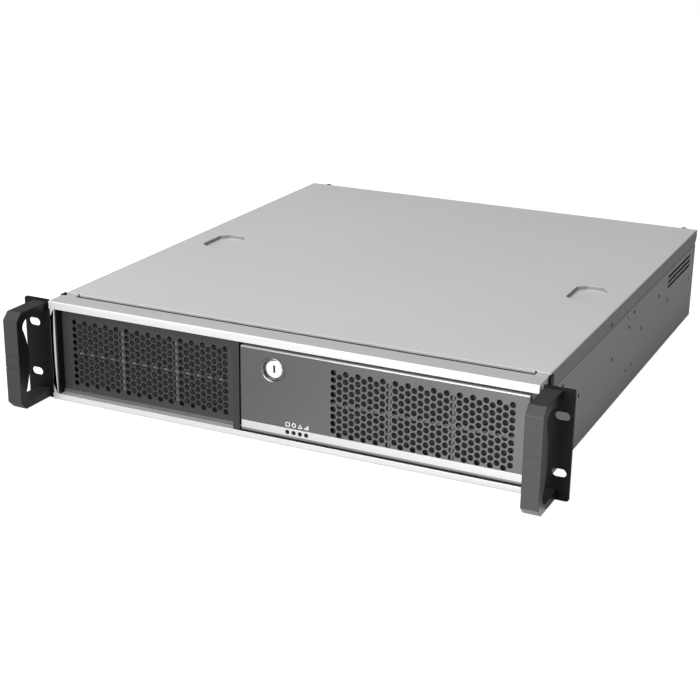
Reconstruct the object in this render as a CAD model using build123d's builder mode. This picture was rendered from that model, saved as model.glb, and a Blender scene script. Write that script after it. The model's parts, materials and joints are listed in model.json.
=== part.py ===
# Rackmount server case, two rack units high, empty.
# Millimetres. +Z is up, the front faces -Y and +X is to the right seen from the front.
# The origin is the middle of the four rack slots, on the rear faces of the two rack ears.

from build123d import *
import math
import os

os.makedirs("parts", exist_ok=True)

# Rack ears
ear_reach = 26.1
ear_thickness = 2.0
ear_corner_radius = 2.0
ear_bend_radius = 2.4
ear_notch_depth = 17.6
ear_notch_gap = 0.1
ear_rear_y = 22.5
slot_inset = 8.75
slot_spacing_z = 44.45
slot_length = 11.5
slot_width = 7.0

# Body shell
body_width = 430.0
body_height = 87.8
body_rear_y = 484.5
tray_sheet = 1.2
cover_sheet = 1.0
sliding_gap = 0.3
fitting_gap = 0.2
cover_front_y = 22.5
cover_overhang = 3.0
cover_flange_depth = 13.0
tray_flange_width = 10.0
front_wall_depth = 34.8
rear_wall_depth = 12.0

# Front bezel
bezel_clearance = 0.2
bezel_proud = 2.6
bezel_depth = 19.8
top_bar_height = 6.7
bottom_bar_height = 5.5
bar_edge_chamfer = 0.6
pillar_inset = 0.8
pillar_width = 4.3
pillar_groove_width = 1.7
pillar_groove_length = 60.6
pillar_groove_inset = 0.7
pillar_groove_depth = 1.0

# Perforated grilles
grille_margin = 14.05
grille_post_margin = 11.0
grille_foot_margin = 9.0
grille_trim_margin = 2.2
grille_drop = 9.6
hole_pitch = 6.0
hole_width = 4.3
hole_height = 4.8
panel_recess = 8.6
panel_sheet = 1.2
panel_behind_post = 2.4
panel_hem_height = 2.8
panel_hem_depth = 1.4
panel_fold_depth = 7.4

# Door and its surround
post_left_x = -38.9
post_width = 6.0
post_depth = 8.4
post_corner_radius = 2.2
sill_thickness = 0.7
sill_depth = 12.0
door_gap_side = 0.8
door_gap_top = 2.2
door_gap_sill = 0.5
door_depth = 9.0
door_sheet = 1.2
door_edge_radius = 1.4
door_corner_radius = 1.5
trim_lift = 2.8
trim_height = 6.3
trim_proud = 0.5
light_inset = 42.7
light_pitch = 5.55
light_count = 4
light_radius = 1.4
hinge_from_front = 2.3
hinge_from_bottom = 2.7
hinge_pin_radius = 1.0
hinge_pin_gap = 0.05
hinge_pin_reach = 3.6
hinge_pin_end_gap = 0.3

# Lock
lock_inset = 29.5
lock_drop = 16.5
lock_rim_radius = 10.4
lock_rim_proud = 0.9
lock_body_radius = 9.8
lock_cup_radius = 9.0
lock_cup_depth = 2.4
lock_seat_gap = 0.1
lock_plug_radius = 7.2
lock_plug_gap = 0.05
lock_body_length = 10.0
lock_cam_catch = 2.7
lock_cam_width = 8.0
lock_cam_thickness = 1.6
key_slot_height = 6.0
key_slot_width = 1.5
key_slot_depth = 5.0

# Handles
handle_offset = 9.8
handle_width = 14.0
handle_clearance = 3.6
handle_proud = 41.8
handle_chamfer = 6.2
handle_arm = 6.5
handle_bar = 7.2
handle_swell = 6.6
handle_inner_radius = 7.6
handle_groove_spacing = 10.5
handle_groove_width = 1.0
handle_groove_depth = 0.5
handle_screw_inset = 3.3
handle_screw_reach = 10.0

# Screws
screw_radius = 1.5
screw_head_radius = 2.8
screw_head_height = 1.2
ear_screw_head_height = 0.6
screw_gap = 0.1
ear_screw_inset = 9.8
ear_screw_y = 19.4
ear_screw_reach = 4.6

# Sides of the plain prisms that stand in for small round features
screw_sides = 8
small_round_sides = 16
round_sides = 24

# Rear wall
psu_width = 142.0
psu_height = 74.0
io_width = 158.75
io_height = 44.45
io_bottom_z = -36.5
slot_opening_width = 14.4
slot_opening_height = 62.0
slot_opening_bottom_z = -32.0
slot_pitch = 20.32
slot_count = 4
slot_side_margin = 20.34
io_margin = 8.425
psu_margin = 7.625
blank_width = 18.4
blank_height = 72.0
blank_sheet = 0.9
blank_gap = 0.1
vent_columns = 6
vent_rows = 2
vent_pitch = 22.0
vent_width = 18.0
vent_height = 6.0
vent_web = 2.0
vent_top_z = 27.0

# Fans on the middle wall
fan_size = 80.0
fan_thickness = 25.0
fan_count = 3
fan_pitch = 104.0
fan_corner_chamfer = 3.0
fan_bore_radius = 37.5
fan_hub_radius = 17.0
fan_hub_length = 18.0
fan_blade_count = 7
fan_blade_reach = 35.0
fan_blade_sink = 2.8
fan_blade_thickness = 1.6
fan_blade_chord = 20.0
fan_blade_tilt = 35.0
fan_wall_y = 233.0
fan_wall_depth = 24.0
fan_wall_sheet = 1.2

# Drive cages
cage_sheet = 1.0
cage_foot = 8.0
cage_slot_length = 14.0
cage_slot_height = 3.6
cage_slot_pitch = 60.0
bay_width = 148.0
bay_height = 66.0
bay_length = 150.0
disk_cage_width = 104.0
disk_cage_height = 62.0
disk_cage_length = 130.0
disk_cage_front_y = 52.0

# Places worked out from the sizes above
half_width = body_width / 2
half_height = body_height / 2
bezel_height = body_height - bezel_clearance
ear_half_height = bezel_height / 2
ear_front_y = -ear_thickness
ear_inner_x = half_width + fitting_gap
ear_outer_x = ear_inner_x + ear_reach
slot_x = ear_outer_x - slot_inset
handle_x = ear_inner_x + handle_offset
handle_half_height = (bezel_height - handle_clearance) / 2
handle_screw_z = handle_half_height - handle_screw_inset
bezel_front_y = ear_front_y - bezel_proud
bezel_rear_y = bezel_front_y + bezel_depth
bezel_half_height = bezel_height / 2
opening_top_z = bezel_half_height - top_bar_height
opening_bottom_z = -bezel_half_height + bottom_bar_height
opening_height = opening_top_z - opening_bottom_z
opening_centre_z = (opening_top_z + opening_bottom_z) / 2
pillar_outer_x = half_width - pillar_inset
opening_half_width = pillar_outer_x - pillar_width
cover_rear_y = body_rear_y + cover_overhang
cover_flange_z = half_height - cover_flange_depth
joggle_x = half_width - cover_sheet - sliding_gap
joggle_z = cover_flange_z - sliding_gap
joggle_rise = half_width - joggle_x
tray_flange_z = half_height - cover_sheet - sliding_gap
wall_half_width = joggle_x - tray_sheet - fitting_gap
wall_bottom_z = -half_height + tray_sheet + fitting_gap
wall_top_z = tray_flange_z - tray_sheet - fitting_gap
wall_height = wall_top_z - wall_bottom_z
wall_centre_z = (wall_top_z + wall_bottom_z) / 2
front_wall_y = bezel_rear_y
side_front_y = front_wall_y + tray_sheet
rear_wall_front_y = body_rear_y - rear_wall_depth
floor_z = -half_height + tray_sheet
stand_z = floor_z + fitting_gap
panel_face_y = bezel_front_y + panel_recess
panel_rear_y = panel_face_y + panel_sheet
post_right_x = post_left_x + post_width
door_left_x = post_right_x + door_gap_side
door_right_x = opening_half_width - door_gap_side
door_width = door_right_x - door_left_x
door_centre_x = (door_right_x + door_left_x) / 2
door_top_z = opening_top_z - door_gap_top
sill_top_z = opening_bottom_z + sill_thickness
door_bottom_z = sill_top_z + door_gap_sill
door_height = door_top_z - door_bottom_z
door_centre_z = (door_top_z + door_bottom_z) / 2
door_rear_y = bezel_front_y + door_depth
door_inner_y = bezel_front_y + door_sheet
trim_bottom_z = door_bottom_z + trim_lift
trim_top_z = trim_bottom_z + trim_height
light_z = (trim_top_z + trim_bottom_z) / 2
light_first_x = door_left_x + light_inset
lock_x = door_left_x + lock_inset
lock_z = door_top_z - lock_drop
lock_cam_y = bezel_front_y + lock_body_length
lock_cam_reach = lock_x - post_right_x + lock_cam_catch
hinge_y = bezel_front_y + hinge_from_front
hinge_z = door_bottom_z + hinge_from_bottom
ear_screw_z = ear_half_height - ear_screw_inset
ear_screw_places = [(ear_screw_y, -ear_screw_z), (ear_screw_y, ear_screw_z)]
slot_first_x = -wall_half_width + slot_side_margin + (slot_count - 1) * slot_pitch
io_centre_x = slot_first_x + slot_opening_width / 2 + io_margin + io_width / 2
psu_centre_x = io_centre_x + io_width / 2 + psu_margin + psu_width / 2

# The two fields of holes: a column count for both, and the heights that each may fill
column_pitch = hole_pitch * math.sqrt(3) / 2
field_width = opening_half_width - grille_margin + post_left_x - grille_post_margin
grille_columns = 1 + int(field_width / column_pitch)
grille_width = (grille_columns - 1) * column_pitch
grille_centre_x = opening_half_width - grille_margin - grille_width / 2
grille_top_z = door_top_z - grille_drop
panel_grille_bottom_z = opening_bottom_z + grille_foot_margin
door_grille_bottom_z = trim_top_z + grille_trim_margin


def front_plane(y):
    """The XZ plane at a depth y, drawn as seen from the front; extrusions come forwards."""
    return Plane.XZ.offset(-y)


def hole_places(centre_x, bottom_z):
    """Centres of a staggered field of holes; every other column is half a pitch lower."""
    places = []
    for column in range(grille_columns):
        lowered = 0.5 * (column % 2)
        for row in range(1 + int((grille_top_z - bottom_z) / hole_pitch - lowered)):
            x = centre_x - grille_width / 2 + column * column_pitch
            places.append((x, grille_top_z - (row + lowered) * hole_pitch))
    return places



# Chassis tray: bottom and sides folded from one sheet, joggled in under the cover's flanges
side_hole_radius = 2.0
rail_hole_z = 0.5
rail_hole_first_y = 98.2
rail_hole_pitch = 94.2
rail_hole_count = 4
side_vent_length = 88.0
side_vent_height = 2.6
side_vent_pitch = 4.9
side_vent_from_rear = 63.5
side_vent_centre_y = body_rear_y - side_vent_from_rear
side_vent_centre_z = 18.5
side_vent_count = 3
with BuildPart() as chassis_tray:
    with BuildSketch(front_plane(body_rear_y)):
        with BuildLine():
            Polyline(
                (-joggle_x + tray_flange_width, tray_flange_z),
                (-joggle_x, tray_flange_z),
                (-joggle_x, joggle_z),
                (-half_width, joggle_z - joggle_rise),
                (-half_width, -half_height),
                (half_width, -half_height),
                (half_width, joggle_z - joggle_rise),
                (joggle_x, joggle_z),
                (joggle_x, tray_flange_z),
                (joggle_x - tray_flange_width, tray_flange_z),
            )
            offset(amount=tray_sheet, side=Side.LEFT, kind=Kind.INTERSECTION)
        make_face()
    extrude(amount=body_rear_y - side_front_y)
    rail_hole_middle_y = rail_hole_first_y + (rail_hole_count - 1) / 2 * rail_hole_pitch
    with BuildSketch(Plane.YZ.offset(-half_width)):
        with Locations((rail_hole_middle_y, rail_hole_z)):
            with GridLocations(rail_hole_pitch, 1, rail_hole_count, 1):
                Circle(side_hole_radius)
    extrude(amount=body_width, mode=Mode.SUBTRACT)
    with BuildSketch(Plane.YZ.offset(joggle_x - tray_sheet)):
        with Locations((side_vent_centre_y, side_vent_centre_z)):
            with GridLocations(1, side_vent_pitch, 1, side_vent_count):
                Rectangle(side_vent_length, side_vent_height)
    extrude(amount=half_width - joggle_x + tray_sheet, mode=Mode.SUBTRACT)
    with BuildSketch(Plane.YZ.offset(-half_width)):
        with Locations(*ear_screw_places):
            RegularPolygon(screw_radius, screw_sides)
    extrude(amount=body_width, mode=Mode.SUBTRACT)
chassis_tray.part.label = "chassis_tray"
export_step(chassis_tray.part, "parts/chassis_tray.step")

# Top cover: one folded sheet with side flanges, a front lip and a rear lip,
# and two pressed finger recesses for pushing it back
front_lip_depth = 2.4
front_lip_inset = 1.4
corner_relief = 2.0
rear_lip_depth = 10.0
rear_corner_chamfer = 5.0
recess_inset = 35.2
recess_width = 28.0
recess_length = 46.0
recess_corner = 7.0
recess_centre_y = 227.5
recess_depth = 3.6
cover_screw_inset = 15.0
cover_screw_drop = 5.6
recess_x = half_width - recess_inset
cover_screw_x = half_width - cover_screw_inset
cover_screw_z = half_height - cover_screw_drop
lip_half_width = joggle_x - tray_flange_width - front_lip_inset


def recess_outline(margin):
    """Outline of a finger recess with cut corners, grown by a margin."""
    with BuildSketch() as outline:
        Rectangle(recess_width + 2 * margin, recess_length + 2 * margin)
        chamfer(outline.vertices(), recess_corner)
    return outline.sketch


with BuildPart() as top_cover:
    with BuildSketch(front_plane(cover_rear_y)):
        with BuildLine():
            Polyline(
                (-half_width, cover_flange_z),
                (-half_width, half_height),
                (half_width, half_height),
                (half_width, cover_flange_z),
            )
            offset(amount=cover_sheet, side=Side.RIGHT, kind=Kind.INTERSECTION)
        make_face()
    extrude(amount=cover_rear_y - cover_front_y)
    with BuildSketch(Plane.YZ.offset(-lip_half_width)):
        with Locations((cover_front_y + cover_sheet / 2, half_height - front_lip_depth / 2)):
            Rectangle(cover_sheet, front_lip_depth)
    extrude(amount=2 * lip_half_width)
    with BuildSketch(Plane.YZ.offset(-half_width + cover_sheet)):
        with Locations((cover_rear_y - cover_sheet / 2, half_height - rear_lip_depth / 2)):
            Rectangle(cover_sheet, rear_lip_depth)
    extrude(amount=2 * (half_width - cover_sheet))
    with BuildSketch(Plane.XY.offset(half_height)):
        for side in (-1, 1):
            with Locations((side * (lip_half_width + corner_relief / 2), cover_front_y + corner_relief / 2)):
                Rectangle(corner_relief, corner_relief)
    extrude(amount=-cover_sheet, mode=Mode.SUBTRACT)
    with BuildSketch(Plane.XY.offset(half_height - cover_sheet)):
        with Locations((-recess_x, recess_centre_y), (recess_x, recess_centre_y)):
            add(recess_outline(cover_sheet))
    extrude(amount=-recess_depth)
    with BuildSketch(Plane.XY.offset(half_height)):
        with Locations((-recess_x, recess_centre_y), (recess_x, recess_centre_y)):
            add(recess_outline(0))
    extrude(amount=-recess_depth, mode=Mode.SUBTRACT)
    with BuildSketch(Plane.YZ.offset(-half_width)):
        with BuildLine():
            Polyline(
                (cover_rear_y - rear_corner_chamfer, cover_flange_z),
                (cover_rear_y, cover_flange_z + rear_corner_chamfer),
                (cover_rear_y, cover_flange_z),
                close=True,
            )
        make_face()
    extrude(amount=body_width, mode=Mode.SUBTRACT)
    with BuildSketch(front_plane(cover_rear_y)):
        with Locations((-cover_screw_x, cover_screw_z), (cover_screw_x, cover_screw_z)):
            RegularPolygon(screw_radius + screw_gap, screw_sides)
    extrude(amount=cover_sheet, mode=Mode.SUBTRACT)
top_cover.part.label = "top_cover"
export_step(top_cover.part, "parts/top_cover.step")

# Thumbscrews that hold the cover's rear lip
thumb_radius = 5.0
thumb_length = 8.0
thumb_shank_length = 12.0
with BuildPart() as cover_thumbscrews:
    with BuildSketch(front_plane(cover_rear_y + thumb_length)):
        with Locations((-cover_screw_x, cover_screw_z), (cover_screw_x, cover_screw_z)):
            RegularPolygon(thumb_radius, small_round_sides)
    extrude(amount=thumb_length)
    with BuildSketch(front_plane(cover_rear_y)):
        with Locations((-cover_screw_x, cover_screw_z), (cover_screw_x, cover_screw_z)):
            RegularPolygon(screw_radius, screw_sides)
    extrude(amount=thumb_shank_length)
cover_thumbscrews.part.label = "cover_thumbscrews"
export_step(cover_thumbscrews.part, "parts/cover_thumbscrews.step")

# Front wall: a shallow pressed pan behind the bezel, with an air opening and a bay opening
air_opening_width = 160.0
air_opening_height = 62.0
bay_opening_width = 154.0
bay_opening_height = 68.0
panel_opening_width = 60.0
panel_opening_height = 40.0
control_margin = 38.1
control_centre_x = grille_centre_x - bay_opening_width / 2 - control_margin
control_centre_z = 4.0
with BuildPart() as front_wall:
    with BuildSketch(front_plane(front_wall_y + front_wall_depth)):
        with Locations((0, wall_centre_z)):
            Rectangle(2 * wall_half_width, wall_height)
    extrude(amount=front_wall_depth)
    with BuildSketch(front_plane(front_wall_y + front_wall_depth)):
        with Locations((0, wall_centre_z)):
            Rectangle(2 * (wall_half_width - tray_sheet), wall_height - 2 * tray_sheet)
    extrude(amount=front_wall_depth - tray_sheet, mode=Mode.SUBTRACT)
    with BuildSketch(front_plane(front_wall_y + tray_sheet)):
        with Locations((-grille_centre_x, 0)):
            Rectangle(air_opening_width, air_opening_height)
        with Locations((grille_centre_x, 0)):
            Rectangle(bay_opening_width, bay_opening_height)
        with Locations((control_centre_x, control_centre_z)):
            Rectangle(panel_opening_width, panel_opening_height)
    extrude(amount=tray_sheet, mode=Mode.SUBTRACT)
front_wall.part.label = "front_wall"
export_step(front_wall.part, "parts/front_wall.step")

# Rear wall: a shallow pan with the power supply, board and card openings
vent_row_pitch = vent_height + vent_web
card_slot_z = slot_opening_bottom_z + slot_opening_height / 2
card_slots = [(slot_first_x - index * slot_pitch, card_slot_z) for index in range(slot_count)]
with BuildPart() as rear_wall:
    with BuildSketch(front_plane(body_rear_y)):
        with Locations((0, wall_centre_z)):
            Rectangle(2 * wall_half_width, wall_height)
    extrude(amount=rear_wall_depth)
    with BuildSketch(front_plane(body_rear_y - tray_sheet)):
        with Locations((0, wall_centre_z)):
            Rectangle(2 * (wall_half_width - tray_sheet), wall_height - 2 * tray_sheet)
    extrude(amount=rear_wall_depth - tray_sheet, mode=Mode.SUBTRACT)
    with BuildSketch(front_plane(body_rear_y)):
        with Locations((psu_centre_x, 0)):
            Rectangle(psu_width, psu_height)
        with Locations((io_centre_x, io_bottom_z + io_height / 2)):
            Rectangle(io_width, io_height)
        with Locations(*card_slots):
            Rectangle(slot_opening_width, slot_opening_height)
        with Locations((io_centre_x, vent_top_z - (vent_rows - 1) / 2 * vent_row_pitch)):
            with GridLocations(vent_pitch, vent_row_pitch, vent_columns, vent_rows):
                Rectangle(vent_width, vent_height)
        with Locations((-cover_screw_x, cover_screw_z), (cover_screw_x, cover_screw_z)):
            RegularPolygon(screw_radius + screw_gap, screw_sides)
    extrude(amount=tray_sheet, mode=Mode.SUBTRACT)
rear_wall.part.label = "rear_wall"
export_step(rear_wall.part, "parts/rear_wall.step")

# Blank brackets over the card openings, inside the rear wall
with BuildPart() as slot_blanks:
    with BuildSketch(front_plane(body_rear_y - tray_sheet - blank_gap)):
        with Locations(*card_slots):
            Rectangle(blank_width, blank_height)
    extrude(amount=blank_sheet)
slot_blanks.part.label = "slot_blanks"
export_step(slot_blanks.part, "parts/slot_blanks.step")

# Bezel frame: one moulded frame with two thick bars and two thin pillars
with BuildPart() as bezel_frame:
    with BuildSketch(front_plane(bezel_rear_y)):
        Rectangle(2 * pillar_outer_x, bezel_height)
        with Locations((0, bezel_half_height - top_bar_height / 2)):
            Rectangle(2 * ear_inner_x, top_bar_height)
        with Locations((0, -bezel_half_height + bottom_bar_height / 2)):
            Rectangle(2 * ear_inner_x, bottom_bar_height)
        with Locations((0, opening_centre_z)):
            Rectangle(2 * opening_half_width, opening_height, mode=Mode.SUBTRACT)
    extrude(amount=bezel_depth)
    groove_x = -pillar_outer_x + pillar_groove_inset + pillar_groove_width / 2
    with BuildSketch(front_plane(bezel_front_y + pillar_groove_depth)):
        with Locations((groove_x, 0)):
            Rectangle(pillar_groove_width, pillar_groove_length)
    extrude(amount=pillar_groove_depth, mode=Mode.SUBTRACT)
    with BuildSketch(front_plane(bezel_front_y + post_depth)):
        with Locations(((opening_half_width + pillar_outer_x) / 2, opening_centre_z)):
            Rectangle(pillar_width, opening_height)
    extrude(amount=post_depth, mode=Mode.SUBTRACT)
    front_bar_edges = bezel_frame.edges().filter_by(Axis.X).group_by(Axis.Y)[0].sort_by(Axis.Z)
    chamfer([front_bar_edges[0], front_bar_edges[-1]], bar_edge_chamfer)
bezel_frame.part.label = "bezel_frame"
export_step(bezel_frame.part, "parts/bezel_frame.step")

# Recessed perforated panel of the left half, with a hem along its foot and a fold at its left
panel_left_x = -opening_half_width + fitting_gap
panel_right_x = post_left_x + panel_behind_post
panel_foot_z = opening_bottom_z + fitting_gap
panel_height = opening_height - 2 * fitting_gap
hem_length = post_left_x - fitting_gap - panel_left_x
with BuildPart() as grille_panel:
    with BuildSketch(front_plane(panel_rear_y)):
        with Locations(((panel_left_x + panel_right_x) / 2, opening_centre_z)):
            Rectangle(panel_right_x - panel_left_x, panel_height)
        with Locations(*hole_places(-grille_centre_x, panel_grille_bottom_z)):
            Rectangle(hole_width, hole_height, mode=Mode.SUBTRACT)
    extrude(amount=panel_sheet)
    with BuildSketch(front_plane(panel_face_y)):
        with Locations((panel_left_x + hem_length / 2, panel_foot_z + panel_hem_height / 2)):
            Rectangle(hem_length, panel_hem_height)
    extrude(amount=panel_hem_depth)
    with BuildSketch(front_plane(panel_face_y)):
        with Locations((panel_left_x + panel_sheet / 2, opening_centre_z)):
            Rectangle(panel_sheet, panel_height)
    extrude(amount=panel_fold_depth)
grille_panel.part.label = "grille_panel"
export_step(grille_panel.part, "parts/grille_panel.step")

# Filter holders with three by two windows, and the foam sheets in them
filter_side_margin = 7.25
filter_height = 66.0
filter_border = 3.0
filter_rib = 2.0
filter_frame_depth = 3.0
foam_thickness = 4.0
filter_width = grille_width + 2 * filter_side_margin
window_width = (filter_width - 2 * filter_border - 2 * filter_rib) / 3
window_height = (filter_height - 2 * filter_border - filter_rib) / 2


def filter_holder_section():
    """Outline of a filter holder and its six windows, about the sketch's origin."""
    with BuildSketch() as section:
        Rectangle(filter_width, filter_height)
        with GridLocations(window_width + filter_rib, window_height + filter_rib, 3, 2):
            Rectangle(window_width, window_height, mode=Mode.SUBTRACT)
    return section.sketch


filter_front_y = panel_rear_y + fitting_gap
filter_centre_z = (grille_top_z + panel_grille_bottom_z) / 2
with BuildPart() as filter_holder:
    with BuildSketch(front_plane(filter_front_y + filter_frame_depth)):
        with Locations((-grille_centre_x, filter_centre_z)):
            add(filter_holder_section())
    extrude(amount=filter_frame_depth)
filter_holder.part.label = "filter_holder"
export_step(filter_holder.part, "parts/filter_holder.step")

foam_front_y = filter_front_y + filter_frame_depth + fitting_gap
with BuildPart() as filter_foam:
    with BuildSketch(front_plane(foam_front_y + foam_thickness)):
        with Locations((-grille_centre_x, filter_centre_z)):
            Rectangle(filter_width, filter_height)
    extrude(amount=foam_thickness)
filter_foam.part.label = "filter_foam"
export_step(filter_foam.part, "parts/filter_foam.step")

# Door surround: a left post, a right post and a thin sill that joins them
right_post_left_x = opening_half_width
right_post_right_x = pillar_outer_x
sill_rear_y = bezel_front_y + sill_depth
with BuildPart() as door_surround:
    with BuildSketch(front_plane(bezel_front_y + post_depth)):
        with Locations(((post_left_x + post_right_x) / 2, opening_centre_z)):
            Rectangle(post_width, opening_height)
        with Locations(((right_post_left_x + right_post_right_x) / 2, opening_centre_z)):
            Rectangle(right_post_right_x - right_post_left_x, opening_height)
    extrude(amount=post_depth)
    lower_left = door_surround.edges().filter_by(Axis.Y).group_by(Axis.Z)[0].sort_by(Axis.X)[0]
    fillet(lower_left, post_corner_radius)
    with BuildSketch(front_plane(sill_rear_y)):
        with Locations(((post_right_x + right_post_left_x) / 2, opening_bottom_z + sill_thickness / 2)):
            Rectangle(right_post_left_x - post_right_x, sill_thickness)
    extrude(amount=sill_rear_y - bezel_front_y)
    with BuildSketch(Plane.YZ.offset(post_right_x - hinge_pin_reach)):
        with Locations((hinge_y, hinge_z)):
            Circle(hinge_pin_radius + hinge_pin_gap)
    extrude(amount=hinge_pin_reach, mode=Mode.SUBTRACT)
    with BuildSketch(Plane.YZ.offset(right_post_left_x)):
        with Locations((hinge_y, hinge_z)):
            Circle(hinge_pin_radius + hinge_pin_gap)
    extrude(amount=hinge_pin_reach, mode=Mode.SUBTRACT)
door_surround.part.label = "door_surround"
export_step(door_surround.part, "parts/door_surround.step")

# Door: a shallow folded pan with a perforated field, a lock hole and four light holes
lights = [(light_first_x + index * light_pitch, light_z) for index in range(light_count)]
with BuildPart() as door_panel:
    with BuildSketch(front_plane(door_rear_y)):
        with Locations((door_centre_x, door_centre_z)):
            Rectangle(door_width, door_height)
    extrude(amount=door_depth)
    fillet(door_panel.edges().filter_by(Axis.Y), door_corner_radius)
    front_edges = door_panel.faces().sort_by(Axis.Y)[0].outer_wire().edges()
    fillet(front_edges, door_edge_radius)
    with BuildSketch(front_plane(door_rear_y)):
        with Locations((door_centre_x, door_centre_z)):
            Rectangle(door_width - 2 * door_sheet, door_height - 2 * door_sheet)
    extrude(amount=door_depth - door_sheet, mode=Mode.SUBTRACT)
    with BuildSketch(front_plane(door_inner_y)):
        with Locations(*hole_places(grille_centre_x, door_grille_bottom_z)):
            Rectangle(hole_width, hole_height)
        with Locations((lock_x, lock_z)):
            RegularPolygon(lock_body_radius + lock_seat_gap, round_sides)
        with Locations(*lights):
            RegularPolygon(light_radius, screw_sides)
    extrude(amount=door_sheet, mode=Mode.SUBTRACT)
    with BuildSketch(Plane.YZ.offset(door_left_x)):
        with Locations((hinge_y, hinge_z)):
            Circle(hinge_pin_radius)
    extrude(amount=door_width, mode=Mode.SUBTRACT)
door_panel.part.label = "door_panel"
export_step(door_panel.part, "parts/door_panel.step")

# Bright trim strip across the foot of the door
with BuildPart() as door_trim:
    with BuildSketch(front_plane(bezel_front_y)):
        with Locations((door_centre_x, (trim_top_z + trim_bottom_z) / 2)):
            Rectangle(door_width - 2 * door_edge_radius, trim_top_z - trim_bottom_z)
        with Locations(*lights):
            RegularPolygon(light_radius, screw_sides, mode=Mode.SUBTRACT)
    extrude(amount=trim_proud)
door_trim.part.label = "door_trim"
export_step(door_trim.part, "parts/door_trim.step")

# Indicator lights that reach through the door from the small board behind them
light_length = 4.2
light_gap = 0.05
light_board_margin = 4.0
light_board_height = 6.0
light_board_thickness = 1.2
light_rear_y = bezel_front_y + light_length
with BuildPart() as indicator_lights:
    with BuildSketch(front_plane(light_rear_y)):
        with Locations(*lights):
            RegularPolygon(light_radius - light_gap, screw_sides)
    extrude(amount=light_length)
indicator_lights.part.label = "indicator_lights"
export_step(indicator_lights.part, "parts/indicator_lights.step")

with BuildPart() as light_board:
    lights_middle_x = light_first_x + (light_count - 1) / 2 * light_pitch
    lights_span = (light_count - 1) * light_pitch
    with BuildSketch(front_plane(light_rear_y + light_board_thickness)):
        with Locations((lights_middle_x, light_z)):
            Rectangle(lights_span + 2 * light_board_margin, light_board_height)
    extrude(amount=light_board_thickness)
light_board.part.label = "light_board"
export_step(light_board.part, "parts/light_board.step")

# Hinge pins, pressed into the door's side walls and turning in the surround's posts
pin_length = hinge_pin_reach - hinge_pin_end_gap + door_gap_side + door_sheet
with BuildPart() as hinge_pins:
    for start_x in (door_left_x + door_sheet - pin_length, door_right_x - door_sheet):
        with BuildSketch(Plane.YZ.offset(start_x)):
            with Locations((hinge_y, hinge_z)):
                Circle(hinge_pin_radius)
        extrude(amount=pin_length)
hinge_pins.part.label = "hinge_pins"
export_step(hinge_pins.part, "parts/hinge_pins.step")

# Filter holder and foam sheet inside the door
door_filter_y = door_inner_y + fitting_gap
with BuildPart() as door_filter_holder:
    with BuildSketch(front_plane(door_filter_y + filter_frame_depth)):
        with Locations((grille_centre_x, door_centre_z)):
            add(filter_holder_section())
    extrude(amount=filter_frame_depth)
door_filter_holder.part.label = "door_filter_holder"
export_step(door_filter_holder.part, "parts/door_filter_holder.step")

door_foam_y = door_filter_y + filter_frame_depth + fitting_gap
with BuildPart() as door_filter_foam:
    with BuildSketch(front_plane(door_foam_y + foam_thickness)):
        with Locations((grille_centre_x, door_centre_z)):
            Rectangle(filter_width, filter_height)
    extrude(amount=foam_thickness)
door_filter_foam.part.label = "door_filter_foam"
export_step(door_filter_foam.part, "parts/door_filter_foam.step")

# Lock: a flanged cup in the door, and a turning plug with a cam on its rear end; the cam
# hangs down at rest and a quarter turn brings its tip behind the left post
with BuildPart() as lock_housing:
    with BuildSketch(front_plane(lock_cam_y - lock_seat_gap)):
        with Locations((lock_x, lock_z)):
            RegularPolygon(lock_body_radius, round_sides)
    extrude(amount=lock_body_length - lock_seat_gap)
    with BuildSketch(front_plane(bezel_front_y)):
        with Locations((lock_x, lock_z)):
            RegularPolygon(lock_rim_radius, round_sides)
    extrude(amount=lock_rim_proud)
    with BuildSketch(front_plane(bezel_front_y + lock_cup_depth)):
        with Locations((lock_x, lock_z)):
            RegularPolygon(lock_cup_radius, round_sides)
    extrude(amount=lock_cup_depth + lock_rim_proud, mode=Mode.SUBTRACT)
    with BuildSketch(front_plane(lock_cam_y)):
        with Locations((lock_x, lock_z)):
            Circle(lock_plug_radius + lock_plug_gap)
    extrude(amount=lock_body_length, mode=Mode.SUBTRACT)
lock_housing.part.label = "lock_housing"
export_step(lock_housing.part, "parts/lock_housing.step")

with BuildPart() as lock_plug:
    with BuildSketch(front_plane(lock_cam_y)):
        with Locations((lock_x, lock_z)):
            Circle(lock_plug_radius)
    extrude(amount=lock_body_length - lock_cup_depth)
    with BuildSketch(front_plane(bezel_front_y + lock_cup_depth + key_slot_depth)):
        with Locations((lock_x, lock_z)):
            Rectangle(key_slot_width, key_slot_height)
    extrude(amount=key_slot_depth, mode=Mode.SUBTRACT)
lock_plug.part.label = "lock_plug"
export_step(lock_plug.part, "parts/lock_plug.step")

with BuildPart() as lock_cam:
    with BuildSketch(front_plane(lock_cam_y + lock_cam_thickness)):
        with Locations((lock_x, lock_z)):
            Circle(lock_plug_radius)
        with Locations((lock_x, lock_z - lock_cam_reach / 2)):
            Rectangle(lock_cam_width, lock_cam_reach)
    extrude(amount=lock_cam_thickness)
lock_cam.part.label = "lock_cam"
export_step(lock_cam.part, "parts/lock_cam.step")


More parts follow.
